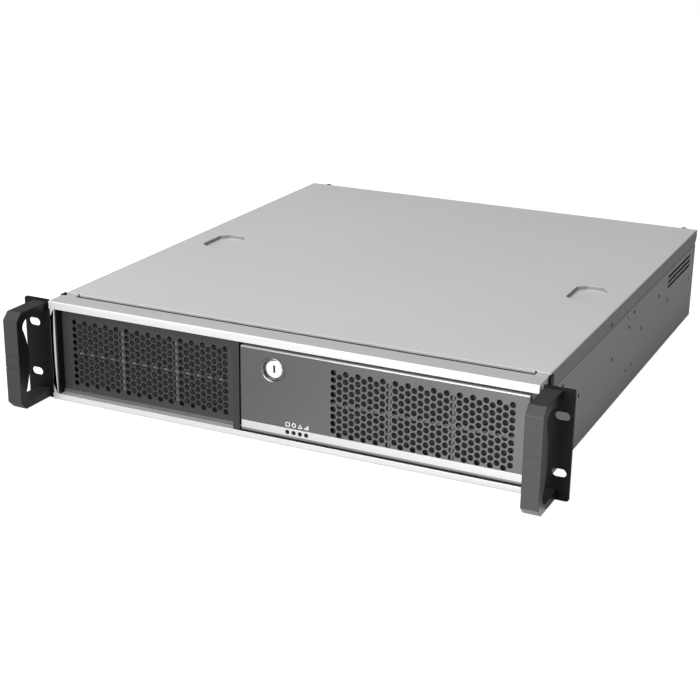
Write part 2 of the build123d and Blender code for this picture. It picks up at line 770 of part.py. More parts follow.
def ear_half(side):
    """Rack ear: an L bracket with two slots, notched round the ends of the bezel's bars."""
    with BuildPart() as ear:
        with BuildSketch(Plane.XY.offset(-ear_half_height)):
            with BuildLine():
                FilletPolyline(
                    (side * ear_inner_x, ear_rear_y),
                    (side * ear_inner_x, ear_front_y),
                    (side * ear_outer_x, ear_front_y),
                    radius=ear_bend_radius,
                )
                inward = Side.LEFT if side > 0 else Side.RIGHT
                offset(amount=ear_thickness, side=inward)
            make_face()
        extrude(amount=2 * ear_half_height)
        corners = ear.edges().filter_by(Axis.Y).sort_by(Axis.X, reverse=side > 0)[0:2]
        fillet(corners, ear_corner_radius)
        with BuildSketch(Plane.YZ.offset(side * (ear_inner_x + ear_thickness / 2))):
            with Locations((ear_front_y, opening_top_z + ear_notch_gap)):
                Rectangle(ear_notch_depth, top_bar_height, align=(Align.MIN, Align.MIN))
            with Locations((ear_front_y, opening_bottom_z - ear_notch_gap)):
                Rectangle(ear_notch_depth, bottom_bar_height, align=(Align.MIN, Align.MAX))
        extrude(amount=ear_thickness / 2 + ear_notch_gap / 2, both=True, mode=Mode.SUBTRACT)
        with BuildSketch(front_plane(0)):
            with Locations((side * slot_x, 0)):
                with GridLocations(1, slot_spacing_z, 1, 2):
                    SlotOverall(slot_length, slot_width)
            with Locations((side * handle_x, 0)):
                with GridLocations(1, 2 * handle_screw_z, 1, 2):
                    RegularPolygon(screw_radius + screw_gap, screw_sides)
        extrude(amount=ear_thickness, mode=Mode.SUBTRACT)
        with BuildSketch(Plane.YZ.offset(side * ear_inner_x)):
            with Locations(*ear_screw_places):
                RegularPolygon(screw_radius + screw_gap, screw_sides)
        extrude(amount=side * ear_thickness, mode=Mode.SUBTRACT)
    return ear.part


# Rack ears, one for each side, and the screws that hold them to the tray
ear_left = ear_half(-1)
ear_left.label = "ear_left"
export_step(ear_left, "parts/ear_left.step")
ear_right = ear_half(1)
ear_right.label = "ear_right"
export_step(ear_right, "parts/ear_right.step")

with BuildPart() as ear_screws:
    for side in (-1, 1):
        outer_x = side * (ear_inner_x + ear_thickness)
        with BuildSketch(Plane.YZ.offset(outer_x)):
            with Locations(*ear_screw_places):
                RegularPolygon(screw_radius, screw_sides)
        extrude(amount=-side * ear_screw_reach)
        with BuildSketch(Plane.YZ.offset(outer_x)):
            with Locations(*ear_screw_places):
                RegularPolygon(screw_head_radius, small_round_sides)
        extrude(amount=side * ear_screw_head_height)
ear_screws.part.label = "ear_screws"
export_step(ear_screws.part, "parts/ear_screws.step")


def handle_half(side):
    """C-shaped handle: flat arms, two chamfered corners and a grip that swells to its middle."""
    outer_z = handle_half_height
    inner_z = outer_z - handle_arm
    front_y = ear_front_y - handle_proud
    grip_rear_y = front_y + handle_bar
    with BuildPart() as handle:
        with BuildSketch(Plane.YZ.offset(side * handle_x)):
            with BuildLine():
                Polyline(
                    (ear_front_y, inner_z),
                    (ear_front_y, outer_z),
                    (front_y + handle_chamfer, outer_z),
                    (front_y, outer_z - handle_chamfer),
                    (front_y, -outer_z + handle_chamfer),
                    (front_y + handle_chamfer, -outer_z),
                    (ear_front_y, -outer_z),
                    (ear_front_y, -inner_z),
                )
                Line((ear_front_y, inner_z), (grip_rear_y + handle_inner_radius, inner_z))
                upper = RadiusArc(
                    (grip_rear_y + handle_inner_radius, inner_z),
                    (grip_rear_y, inner_z - handle_inner_radius),
                    -handle_inner_radius,
                )
                lower = RadiusArc(
                    (grip_rear_y, -inner_z + handle_inner_radius),
                    (grip_rear_y + handle_inner_radius, -inner_z),
                    -handle_inner_radius,
                )
                ThreePointArc(upper @ 1, (grip_rear_y + handle_swell, 0), lower @ 0)
                Line(lower @ 1, (ear_front_y, -inner_z))
            make_face()
        extrude(amount=handle_width / 2, both=True)
        with BuildSketch(front_plane(front_y + handle_groove_depth)):
            with Locations((side * handle_x, 0)):
                with GridLocations(1, handle_groove_spacing, 1, 2):
                    Rectangle(handle_width, handle_groove_width)
        extrude(amount=handle_groove_depth, mode=Mode.SUBTRACT)
        with BuildSketch(front_plane(ear_front_y)):
            with Locations((side * handle_x, 0)):
                with GridLocations(1, 2 * handle_screw_z, 1, 2):
                    RegularPolygon(screw_radius, screw_sides)
        extrude(amount=handle_screw_reach, mode=Mode.SUBTRACT)
    return handle.part


# Handles, one for each ear, and the screws that hold them from behind
handle_left = handle_half(-1)
handle_left.label = "handle_left"
export_step(handle_left, "parts/handle_left.step")
handle_right = handle_half(1)
handle_right.label = "handle_right"
export_step(handle_right, "parts/handle_right.step")

with BuildPart() as handle_screws:
    handle_screw_spots = GridLocations(2 * handle_x, 2 * handle_screw_z, 2, 2)
    with BuildSketch(front_plane(0)):
        with handle_screw_spots:
            RegularPolygon(screw_radius, screw_sides)
    extrude(amount=ear_thickness + handle_screw_reach)
    with BuildSketch(front_plane(screw_head_height)):
        with handle_screw_spots:
            RegularPolygon(screw_head_radius, small_round_sides)
    extrude(amount=screw_head_height)
handle_screws.part.label = "handle_screws"
export_step(handle_screws.part, "parts/handle_screws.step")

# Fan wall: a flanged plate across the body with a row of round openings
fan_axis_z = stand_z + fan_size / 2
fan_first_x = -(fan_count - 1) / 2 * fan_pitch
fan_wall_height = fan_size + fitting_gap
fan_strut_overlap = 1.0
fan_strut_length = fan_bore_radius + fan_strut_overlap
with BuildPart() as fan_wall:
    with BuildSketch(front_plane(fan_wall_y + fan_wall_depth)):
        with Locations((0, stand_z + fan_wall_height / 2)):
            Rectangle(2 * wall_half_width, fan_wall_height)
    extrude(amount=fan_wall_depth)
    with BuildSketch(front_plane(fan_wall_y + fan_wall_depth)):
        with Locations((0, stand_z + fan_wall_height / 2 + fan_wall_sheet / 2)):
            Rectangle(2 * (wall_half_width - fan_wall_sheet), fan_wall_height - fan_wall_sheet)
    extrude(amount=fan_wall_depth - fan_wall_sheet, mode=Mode.SUBTRACT)
    with BuildSketch(front_plane(fan_wall_y + fan_wall_sheet)):
        with Locations((0, fan_axis_z)):
            with GridLocations(fan_pitch, 1, fan_count, 1):
                RegularPolygon(fan_bore_radius, round_sides)
    extrude(amount=fan_wall_sheet, mode=Mode.SUBTRACT)
fan_wall.part.label = "fan_wall"
export_step(fan_wall.part, "parts/fan_wall.step")

# Fans on the front of the fan wall: a square housing with a motor boss, and a bladed rotor
fan_rear_y = fan_wall_y - fitting_gap
fan_strut_width = 5.0
fan_strut_depth = 4.0
fan_axle_radius = 2.0
fan_axle_gap = 0.05
fan_hub_wall = 1.4
fan_rotor_lift = 0.6
fan_rotor_middle_y = fan_rear_y - fan_strut_depth - fan_rotor_lift - fan_hub_length / 2
for number in range(1, fan_count + 1):
    fan_x = fan_first_x + (number - 1) * fan_pitch
    fan_axis = Plane(origin=(fan_x, fan_rear_y, fan_axis_z), x_dir=(1, 0, 0), z_dir=(0, -1, 0))
    with BuildPart() as fan_frame:
        with BuildSketch(fan_axis):
            housing = Rectangle(fan_size, fan_size)
            chamfer(housing.vertices(), fan_corner_chamfer)
            RegularPolygon(fan_bore_radius, round_sides, mode=Mode.SUBTRACT)
        extrude(amount=fan_thickness)
        with BuildSketch(fan_axis):
            RegularPolygon(fan_hub_radius, round_sides)
            with PolarLocations(0, 4, start_angle=45):
                Rectangle(fan_strut_length, fan_strut_width, align=(Align.MIN, Align.CENTER))
        extrude(amount=fan_strut_depth)
        with BuildSketch(fan_axis.offset(fan_strut_depth)):
            Circle(fan_axle_radius)
        extrude(amount=fan_hub_length - fan_strut_depth)
    fan_frame.part.label = f"fan_frame_{number}"
    export_step(fan_frame.part, f"parts/fan_frame_{number}.step")

    rotor_plane = fan_axis.offset(fan_strut_depth + fan_rotor_lift)
    with BuildPart() as fan_rotor:
        with BuildSketch(rotor_plane):
            RegularPolygon(fan_hub_radius, round_sides)
        extrude(amount=fan_hub_length)
        with BuildSketch(rotor_plane):
            Circle(fan_axle_radius + fan_axle_gap)
        extrude(amount=fan_hub_length - fan_hub_wall, mode=Mode.SUBTRACT)
        for blade in range(fan_blade_count):
            turn = math.radians(360 / fan_blade_count * blade)
            outward = Vector(math.cos(turn), 0, math.sin(turn))
            across = Vector(-math.sin(turn), 0, math.cos(turn))
            pitch = math.radians(fan_blade_tilt)
            chord = across * math.cos(pitch) + Vector(0, 1, 0) * math.sin(pitch)
            hub_centre = Vector(fan_x, fan_rotor_middle_y, fan_axis_z)
            root_centre = hub_centre + outward * (fan_hub_radius - fan_blade_sink)
            with BuildSketch(Plane(origin=root_centre, x_dir=chord, z_dir=outward)):
                Rectangle(fan_blade_chord, fan_blade_thickness)
            extrude(amount=fan_blade_reach - fan_hub_radius + fan_blade_sink)
    fan_rotor.part.label = f"fan_rotor_{number}"
    export_step(fan_rotor.part, f"parts/fan_rotor_{number}.step")


def cage(centre_x, width, height, length, front_y):
    """Folded drive cage standing on two feet, with two screw slots in each side."""
    with BuildPart() as folded:
        with BuildSketch(front_plane(front_y + length)):
            with BuildLine():
                Polyline(
                    (centre_x - width / 2 + cage_foot, stand_z),
                    (centre_x - width / 2, stand_z),
                    (centre_x - width / 2, stand_z + height),
                    (centre_x + width / 2, stand_z + height),
                    (centre_x + width / 2, stand_z),
                    (centre_x + width / 2 - cage_foot, stand_z),
                )
                offset(amount=cage_sheet, side=Side.RIGHT, kind=Kind.INTERSECTION)
            make_face()
        extrude(amount=length)
        with BuildSketch(Plane.YZ.offset(centre_x - width / 2)):
            with Locations((front_y + length / 2, stand_z + height / 2)):
                with GridLocations(cage_slot_pitch, 1, 2, 1):
                    Rectangle(cage_slot_length, cage_slot_height)
        extrude(amount=width, mode=Mode.SUBTRACT)
    return folded.part


# Drive cages behind the two halves of the front
disk_cage = cage(-grille_centre_x, disk_cage_width, disk_cage_height, disk_cage_length, disk_cage_front_y)
disk_cage.label = "disk_cage"
export_step(disk_cage, "parts/disk_cage.step")
bay_cage_front_y = front_wall_y + front_wall_depth + fitting_gap
bay_cage = cage(grille_centre_x, bay_width, bay_height, bay_length, bay_cage_front_y)
bay_cage.label = "bay_cage"
export_step(bay_cage, "parts/bay_cage.step")

# Cradle on the floor that holds a power supply against the rear wall
cradle_depth = 30.0
cradle_height = 18.0
cradle_setback = 40.0
cradle_y = rear_wall_front_y - cradle_setback
with BuildPart() as psu_cradle:
    with BuildSketch(front_plane(cradle_y)):
        with BuildLine():
            Polyline(
                (psu_centre_x - psu_width / 2 - cage_foot, stand_z + cradle_height),
                (psu_centre_x - psu_width / 2 - cage_foot, stand_z),
                (psu_centre_x + psu_width / 2 + cage_foot, stand_z),
                (psu_centre_x + psu_width / 2 + cage_foot, stand_z + cradle_height),
            )
            offset(amount=cage_sheet, side=Side.LEFT, kind=Kind.INTERSECTION)
        make_face()
    extrude(amount=cradle_depth)
psu_cradle.part.label = "psu_cradle"
export_step(psu_cradle.part, "parts/psu_cradle.step")

# Standoffs on the floor for a main board
standoff_height = 6.5
standoff_width = 5.0
board_hole_rows = (0.0, 154.9)
board_hole_columns = (0.0, 157.5, 227.3)
board_side_margin = 16.3
board_from_rear = 173.5
board_left_x = -wall_half_width + board_side_margin
board_front_y = body_rear_y - board_from_rear
with BuildPart() as board_standoffs:
    with BuildSketch(Plane.XY.offset(floor_z)):
        for column in board_hole_columns:
            for row in board_hole_rows:
                with Locations((board_left_x + column, board_front_y + row)):
                    RegularPolygon(standoff_width / 2, 6, major_radius=False)
    extrude(amount=standoff_height)
board_standoffs.part.label = "board_standoffs"
export_step(board_standoffs.part, "parts/board_standoffs.step")

# Control plate on the front wall behind the door, with its board, buttons and ports
control_plate_margin = 3.0
control_plate_depth = 2.0
control_post_width = 4.0
control_post_length = 9.0
control_post_inset = 4.0
power_button_radius = 5.6
reset_button_radius = 2.6
button_gap = 0.15
button_travel = 2.0
button_proud = 3.0
button_length = 8.0
button_flange = 1.0
power_x = control_centre_x + 16.0
reset_x = control_centre_x + 2.0
button_z = control_centre_z + 9.0
port_width = 14.0
port_height = 7.0
port_sheet = 0.5
port_proud = 0.4
port_spacing = 22.0
port_z = control_centre_z - 9.0
control_front_y = front_wall_y - control_plate_depth
control_board_y = front_wall_y + control_post_length
post_span_x = panel_opening_width - 2 * control_post_inset
post_span_z = panel_opening_height - 2 * control_post_inset
with BuildPart() as control_plate:
    with BuildSketch(front_plane(front_wall_y)):
        with Locations((control_centre_x, control_centre_z)):
            Rectangle(
                panel_opening_width + 2 * control_plate_margin,
                panel_opening_height + 2 * control_plate_margin,
            )
        with Locations((power_x, button_z)):
            RegularPolygon(power_button_radius + button_gap, round_sides, mode=Mode.SUBTRACT)
        with Locations((reset_x, button_z)):
            RegularPolygon(reset_button_radius + button_gap, small_round_sides, mode=Mode.SUBTRACT)
        with Locations((control_centre_x, port_z)):
            with GridLocations(port_spacing, 1, 2, 1):
                Rectangle(port_width + 2 * button_gap, port_height + 2 * button_gap, mode=Mode.SUBTRACT)
    extrude(amount=control_plate_depth)
    with BuildSketch(front_plane(control_board_y)):
        with Locations((control_centre_x, control_centre_z)):
            with GridLocations(post_span_x, post_span_z, 2, 2):
                Rectangle(control_post_width, control_post_width)
    extrude(amount=control_post_length)
control_plate.part.label = "control_plate"
export_step(control_plate.part, "parts/control_plate.step")

board_thickness = 1.6
switch_size = 6.0
switch_gap = 0.3
switch_front_y = front_wall_y - control_plate_depth - button_proud + button_length + button_travel + switch_gap
with BuildPart() as control_board:
    with BuildSketch(front_plane(control_board_y + board_thickness)):
        with Locations((control_centre_x, control_centre_z)):
            Rectangle(panel_opening_width - control_post_inset, panel_opening_height - control_post_inset)
    extrude(amount=board_thickness)
    with BuildSketch(front_plane(control_board_y)):
        with Locations((power_x, button_z), (reset_x, button_z)):
            Rectangle(switch_size, switch_size)
    extrude(amount=control_board_y - switch_front_y)
control_board.part.label = "control_board"
export_step(control_board.part, "parts/control_board.step")

with BuildPart() as usb_ports:
    with BuildSketch(front_plane(control_board_y)):
        with Locations((control_centre_x, port_z)):
            with GridLocations(port_spacing, 1, 2, 1):
                Rectangle(port_width, port_height)
                Rectangle(port_width - 2 * port_sheet, port_height - 2 * port_sheet, mode=Mode.SUBTRACT)
    extrude(amount=control_board_y - control_front_y + port_proud)
usb_ports.part.label = "usb_ports"
export_step(usb_ports.part, "parts/usb_ports.step")


def push_button(x, radius, sides):
    """Round button whose flange stops against the back of the control plate."""
    with BuildPart() as button:
        with BuildSketch(front_plane(control_front_y - button_proud + button_length)):
            with Locations((x, button_z)):
                RegularPolygon(radius, sides)
        extrude(amount=button_length)
        with BuildSketch(front_plane(front_wall_y + button_gap + button_flange)):
            with Locations((x, button_z)):
                RegularPolygon(radius + button_flange, sides)
        extrude(amount=button_flange)
    return button.part


power_button = push_button(power_x, power_button_radius, round_sides)
power_button.label = "power_button"
export_step(power_button, "parts/power_button.step")
reset_button = push_button(reset_x, reset_button_radius, small_round_sides)
reset_button.label = "reset_button"
export_step(reset_button, "parts/reset_button.step")
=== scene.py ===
# %% [markdown]
# A low rackmount case, dressed in Blender
#
# The case is a stack of folded steel sheets behind a moulded silver front. The measured solids come
# ready made, in metres, and stay where they are. This lesson gives them edges that catch the light,
# true round perforations, screws, and a painted or plated finish for each material.

# %% Load the case
import json
import math

import bmesh
import bpy
from mathutils import Matrix, Vector

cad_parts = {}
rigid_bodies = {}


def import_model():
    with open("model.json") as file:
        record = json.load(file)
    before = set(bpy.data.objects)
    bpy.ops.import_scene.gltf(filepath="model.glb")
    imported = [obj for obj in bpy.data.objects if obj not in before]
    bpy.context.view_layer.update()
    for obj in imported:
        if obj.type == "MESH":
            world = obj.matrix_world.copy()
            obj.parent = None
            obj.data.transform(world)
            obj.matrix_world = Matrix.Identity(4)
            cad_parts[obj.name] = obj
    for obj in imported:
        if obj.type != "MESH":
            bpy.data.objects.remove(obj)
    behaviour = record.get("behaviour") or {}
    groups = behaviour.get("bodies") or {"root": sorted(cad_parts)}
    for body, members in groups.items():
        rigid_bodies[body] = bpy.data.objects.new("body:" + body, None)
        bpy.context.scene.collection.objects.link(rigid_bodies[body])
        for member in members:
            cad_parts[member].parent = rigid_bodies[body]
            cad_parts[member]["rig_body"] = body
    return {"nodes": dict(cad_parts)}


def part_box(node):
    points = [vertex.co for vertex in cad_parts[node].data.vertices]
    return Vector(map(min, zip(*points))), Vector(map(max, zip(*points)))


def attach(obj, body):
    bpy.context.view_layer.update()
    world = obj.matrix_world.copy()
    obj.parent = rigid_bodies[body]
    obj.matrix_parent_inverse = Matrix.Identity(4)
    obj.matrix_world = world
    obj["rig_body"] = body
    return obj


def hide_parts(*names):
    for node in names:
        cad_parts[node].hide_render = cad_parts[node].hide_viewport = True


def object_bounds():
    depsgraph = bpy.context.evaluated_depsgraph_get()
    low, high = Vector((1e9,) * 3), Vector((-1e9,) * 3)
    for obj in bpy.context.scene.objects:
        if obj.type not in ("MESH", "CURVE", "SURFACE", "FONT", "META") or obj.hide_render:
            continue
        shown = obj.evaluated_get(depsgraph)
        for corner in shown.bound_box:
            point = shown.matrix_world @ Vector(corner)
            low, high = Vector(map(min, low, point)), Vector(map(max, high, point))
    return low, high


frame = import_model()
nodes = frame["nodes"]
cad_low, cad_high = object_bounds()
print("nodes:", len(nodes), "size in mm:", [round(v * 1000, 1) for v in cad_high - cad_low])

# %% [markdown]
# The camera
#
# The picture was taken from the front right, a little above, with a long lens. An azimuth, an
# elevation and a small roll are easier to read than a matrix, so the matrix is made from them: the
# camera first looks along its own -Z, is tipped up, is turned about the vertical, and rolls last.

# %% Camera
camera_place = Vector((0.5148, -0.9611, 0.4208))
camera_azimuth = 25.23
camera_elevation = 19.51
camera_roll = 0.79
photo_width = 700
focal_pixels = 1479.4
sensor_width = 36.0

camera_data = bpy.data.cameras.new("camera")
camera_data.sensor_width = sensor_width
camera_data.lens = focal_pixels / photo_width * sensor_width
camera = bpy.data.objects.new("camera", camera_data)
bpy.context.scene.collection.objects.link(camera)
turn = Matrix.Rotation(math.radians(camera_azimuth), 4, "Z")
tip = Matrix.Rotation(math.radians(90 - camera_elevation), 4, "X")
roll = Matrix.Rotation(math.radians(camera_roll), 4, "Z")
camera.matrix_world = Matrix.Translation(camera_place) @ turn @ tip @ roll
bpy.context.scene.camera = camera
print("lens:", round(camera_data.lens, 1), "mm")

# %% [markdown]
# Light, floor and background
#
# A product picture of a metal case is lit by large soft lamps, because metal shows what it
# reflects. One lamp hangs above, two stand in front, one low and one high, and a weak one on the
# right keeps that side darker, which is what separates the three faces. The world is white only
# where the camera looks at it, and nearly dark as a light, so that it doesn't fill the dark side.

# %% Lamps and world
scene = bpy.context.scene
scene.view_settings.view_transform = "Standard"


def soft_lamp(name, place, target, size, power):
    """A square area lamp at a place, turned to face a target."""
    data = bpy.data.lights.new(name, "AREA")
    data.shape = "RECTANGLE"
    data.size, data.size_y = size
    data.energy = power
    lamp = bpy.data.objects.new(name, data)
    direction = Vector(target) - Vector(place)
    lamp.matrix_world = Matrix.Translation(place) @ direction.to_track_quat("-Z", "Y").to_matrix().to_4x4()
    scene.collection.objects.link(lamp)
    return lamp


case_middle = (0.0, 0.22, 0.0)
soft_lamp("lamp_above", (-0.9, 0.35, 2.5), case_middle, (2.2, 2.6), 46)
soft_lamp("lamp_front", (-0.35, -2.4, 0.2), case_middle, (1.4, 0.9), 58)
soft_lamp("lamp_front_high", (-0.2, -1.5, 1.5), case_middle, (1.4, 0.6), 26)
soft_lamp("lamp_right", (2.6, -0.9, 0.9), case_middle, (1.5, 1.5), 7)
print("lamps:", len(bpy.data.lights))


# %% The world as a dim light
def math_node(tree, operation, first, second):
    """A Math node; first and second are sockets or plain numbers."""
    node = tree.nodes.new("ShaderNodeMath")
    node.operation = operation
    for index, value in enumerate((first, second)):
        if isinstance(value, (int, float)):
            node.inputs[index].default_value = value
        else:
            tree.links.new(value, node.inputs[index])
    return node.outputs[0]


def ranged(tree, value, low, high, start=0.0, end=1.0):
    """A value that runs from start to end, mapped to run from low to high."""
    node = tree.nodes.new("ShaderNodeMapRange")
    for label, limit in (("From Min", start), ("From Max", end), ("To Min", low), ("To Max", high)):
        node.inputs[label].default_value = limit
    tree.links.new(value, node.inputs["Value"])
    return node.outputs[0]


def world_light(ambient):
    """White to the camera, a very dim grey as a light and in reflections."""
    world = bpy.data.worlds.new("studio")
    world.use_nodes = True
    tree = world.node_tree
    background = tree.nodes["Background"]
    path = tree.nodes.new("ShaderNodeLightPath")
    tree.links.new(ranged(tree, path.outputs["Is Camera Ray"], ambient, 1.0), background.inputs["Strength"])
    background.inputs["Color"].default_value = (1, 1, 1, 1)
    return world


scene.world = world_light(ambient=0.08)

# %% [markdown]
# The floor
#
# The floor glows for the camera, so that it is as white as the background, and glows less in
# reflections. The front of the case mirrors the floor that lies just before it. A glow that rises
# to the right there gives the door its slow change of tone.

# %% Floor
floor_half = 12.0
floor_z = cad_low.z - 0.0002
seen_glow = 0.93
reflected_glow = 0.25
front_glow = (0.2, 1.4)
front_glow_x = (-0.08, 0.17)
front_glow_y = -0.02


def glow_in_reflections(tree):
    """An even glow, but before the case's front one that rises from left to right."""
    place = tree.nodes.new("ShaderNodeTexCoord")
    axes = tree.nodes.new("ShaderNodeSeparateXYZ")
    tree.links.new(place.outputs["Object"], axes.inputs[0])
    rise = ranged(tree, axes.outputs["X"], *front_glow, *front_glow_x)
    before_front = math_node(tree, "LESS_THAN", axes.outputs["Y"], front_glow_y)
    extra = math_node(tree, "SUBTRACT", rise, reflected_glow)
    return math_node(tree, "ADD", math_node(tree, "MULTIPLY", extra, before_front), reflected_glow)


def white_floor():
    """A wide pale floor that keeps the case's shadow and is otherwise white to the camera."""
    mesh = bpy.data.meshes.new("floor")
    corners = [(-floor_half, -floor_half), (floor_half, -floor_half), (floor_half, floor_half),
               (-floor_half, floor_half)]
    mesh.from_pydata([(x, y, floor_z) for x, y in corners], [], [(0, 1, 2, 3)])
    floor = bpy.data.objects.new("floor", mesh)
    scene.collection.objects.link(floor)
    material = bpy.data.materials.new("floor_white")
    material.use_nodes = True
    tree = material.node_tree
    shader = tree.nodes["Principled BSDF"]
    shader.inputs["Base Color"].default_value = (0.3, 0.3, 0.3, 1)
    shader.inputs["Roughness"].default_value = 0.9
    glow = tree.nodes.new("ShaderNodeEmission")
    path = tree.nodes.new("ShaderNodeLightPath")
    seen = math_node(tree, "MULTIPLY", path.outputs["Is Camera Ray"], seen_glow)
    reflected = math_node(tree, "MULTIPLY", path.outputs["Is Glossy Ray"], glow_in_reflections(tree))
    tree.links.new(math_node(tree, "ADD", seen, reflected), glow.inputs["Strength"])
    total = tree.nodes.new("ShaderNodeAddShader")
    tree.links.new(shader.outputs[0], total.inputs[0])
    tree.links.new(glow.outputs[0], total.inputs[1])
    tree.links.new(total.outputs[0], tree.nodes["Material Output"].inputs["Surface"])
    mesh.materials.append(material)
    return floor


white_floor()
print("floor at", round(floor_z * 1000, 1), "mm")

# %% [markdown]
# Finishes
#
# Painted steel isn't one flat colour. Its paint has a fine orange-peel grain that breaks up the
# highlights, and its tone and gloss change a little in soft clouds. One function lays these on a
# Principled shader. Each pattern reads Object coordinates, in
# metres, so a grain of 0.3 mm is a noise scale of about 3000.
#
# The colour also carries painted light and shade by place: a painted highlight along the door's top edge,
# painted light at the foot of the door and of the left grille, and painted shade on the cover's folded sides,
# on the walls of its finger recesses, on the handles' sides and on the cut walls of the side holes.

# %% Helpers that all finishes share
def new_finish(name):
    """A new material, with its tree, its shader and the socket of its Object coordinates."""
    material = bpy.data.materials.new(name)
    material.use_nodes = True
    tree = material.node_tree
    place = tree.nodes.new("ShaderNodeTexCoord").outputs["Object"]
    return material, tree, tree.nodes["Principled BSDF"], place


def noise(tree, place, scale, detail):
    """A noise from 0 to 1."""
    node = tree.nodes.new("ShaderNodeTexNoise")
    node.inputs["Scale"].default_value = scale
    node.inputs["Detail"].default_value = detail
    tree.links.new(place, node.inputs["Vector"])
    return node.outputs["Fac"]


def relief(tree, shader, height, depth, strength):
    """A bump of a depth in millimetres on the shader's normal."""
    node = tree.nodes.new("ShaderNodeBump")
    node.inputs["Strength"].default_value = strength
    node.inputs["Distance"].default_value = depth / 1000
    tree.links.new(height, node.inputs["Height"])
    tree.links.new(node.outputs["Normal"], shader.inputs["Normal"])
    return node


def colour_and_gloss(tree, shader, colour, tone, roughness):
    """A colour times a tone, and a roughness, both led to the shader."""
    toned = tree.nodes.new("ShaderNodeVectorMath")
    toned.operation = "SCALE"
    toned.inputs[0].default_value = colour
    tree.links.new(tone, toned.inputs["Scale"])
    tree.links.new(toned.outputs[0], shader.inputs["Base Color"])
    tree.links.new(roughness, shader.inputs["Roughness"])


# %% A coated finish
cloud_scale = 9.0
fleck_limits = (0.35, 0.75)
coat_gloss_change = 0.05


def painted_light_factor(tree, place, painted_light_and_shade):
    """Product of painted light and shade factors; each one holds where Object coordinates lie within (axis,
    low, high) limits.
    """
    axes = tree.nodes.new("ShaderNodeSeparateXYZ")
    tree.links.new(place, axes.inputs[0])
    total = 1.0
    for factor, limits in painted_light_and_shade:
        inside = 1.0
        for axis, low, high in limits:
            above = math_node(tree, "GREATER_THAN", axes.outputs[axis], low)
            below = math_node(tree, "LESS_THAN", axes.outputs[axis], high)
            inside = math_node(tree, "MULTIPLY", inside, math_node(tree, "MULTIPLY", above, below))
        change = math_node(tree, "ADD", math_node(tree, "MULTIPLY", inside, factor - 1), 1.0)
        total = math_node(tree, "MULTIPLY", total, change)
    return total


def coated(name, colour, roughness, metallic=0.0, grain=2200.0, bump=0.02, cloud=0.06, fleck=0.0, coat=0.0,
           specular=0.5, coat_roughness=0.25, painted_light_and_shade=()):
    """Paint, powder or moulded plastic: grain as bump, clouds in colour and gloss, metal flecks, and painted
    light and shade by place.
    """
    material, tree, shader, place = new_finish(name)
    for label, value in (("Metallic", metallic), ("Specular IOR Level", specular), ("Coat Weight", coat),
                         ("Coat Roughness", coat_roughness)):
        shader.inputs[label].default_value = value
    grains = noise(tree, place, grain, 2.0)
    clouds = noise(tree, place, cloud_scale, 4.0)
    relief(tree, shader, grains, bump, 0.35)
    flecks = ranged(tree, grains, 1 - fleck, 1 + fleck, *fleck_limits)
    mottle = math_node(tree, "MULTIPLY", ranged(tree, clouds, 1 - cloud, 1 + cloud), flecks)
    tone = math_node(tree, "MULTIPLY", mottle, painted_light_factor(tree, place, painted_light_and_shade))
    gloss = ranged(tree, clouds, roughness - coat_gloss_change, roughness + coat_gloss_change)
    colour_and_gloss(tree, shader, colour, tone, gloss)
    return material


# %% Where light and shade are painted into the colour
cover_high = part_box("top_cover")[1]
tray_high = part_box("chassis_tray")[1]
door_low, door_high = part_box("door_panel")
panel_low, panel_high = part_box("grille_panel")
handle_low, handle_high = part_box("handle_right")
far = 1.0
cover_side_x = cover_high.x - 0.0012
recess_walls_z = (cover_high.z - 0.0033, cover_high.z - 0.0003)
recess_y = (0.1, 0.4)
door_top_edge = 0.0012
hem_height = 0.0028
side_holes_y, side_holes_z = (0.09, 0.475), (-0.01, 0.028)
hole_wall_x = (tray_high.x - 0.0011, tray_high.x - 0.0001)
handle_sides = [(handle_low.x - 0.0001, handle_low.x + 0.0005),
                (handle_high.x - 0.0005, handle_high.x + 0.0001)]


def on_both_sides(factor, low_x, high_x, *limits):
    """One shade for the right side and one for the left."""
    return [(factor, [("X", low_x, high_x), *limits]), (factor, [("X", -high_x, -low_x), *limits])]


# Painted shade on the cover's folded sides and on the walls of its finger recesses.
cover_painted_shade = on_both_sides(0.66, cover_side_x, far)
cover_painted_shade += [(0.5, [("X", -cover_side_x, cover_side_x), ("Y", *recess_y), ("Z", *recess_walls_z)])]
# Painted shade on the cut walls of the side holes.
tray_painted_shade = on_both_sides(0.08, *hole_wall_x, ("Y", *side_holes_y), ("Z", *side_holes_z))
# A painted highlight along the door's top edge, and painted light at its foot.
door_painted_light = [
    (4.0, [("Z", door_high.z - door_top_edge, far)]),
    (2.0, [("Z", -far, door_low.z + hem_height)]),
]
# Painted light on the left grille's hem.
panel_painted_light = [(2.2, [("Z", -far, panel_low.z + hem_height)])]
# Painted shade on the handles' sides.
handle_painted_shade = [shade for side in handle_sides for shade in on_both_sides(0.2, *side)]
print("shaded places:", len(cover_painted_shade + tray_painted_shade + door_painted_light + panel_painted_light + handle_painted_shade))

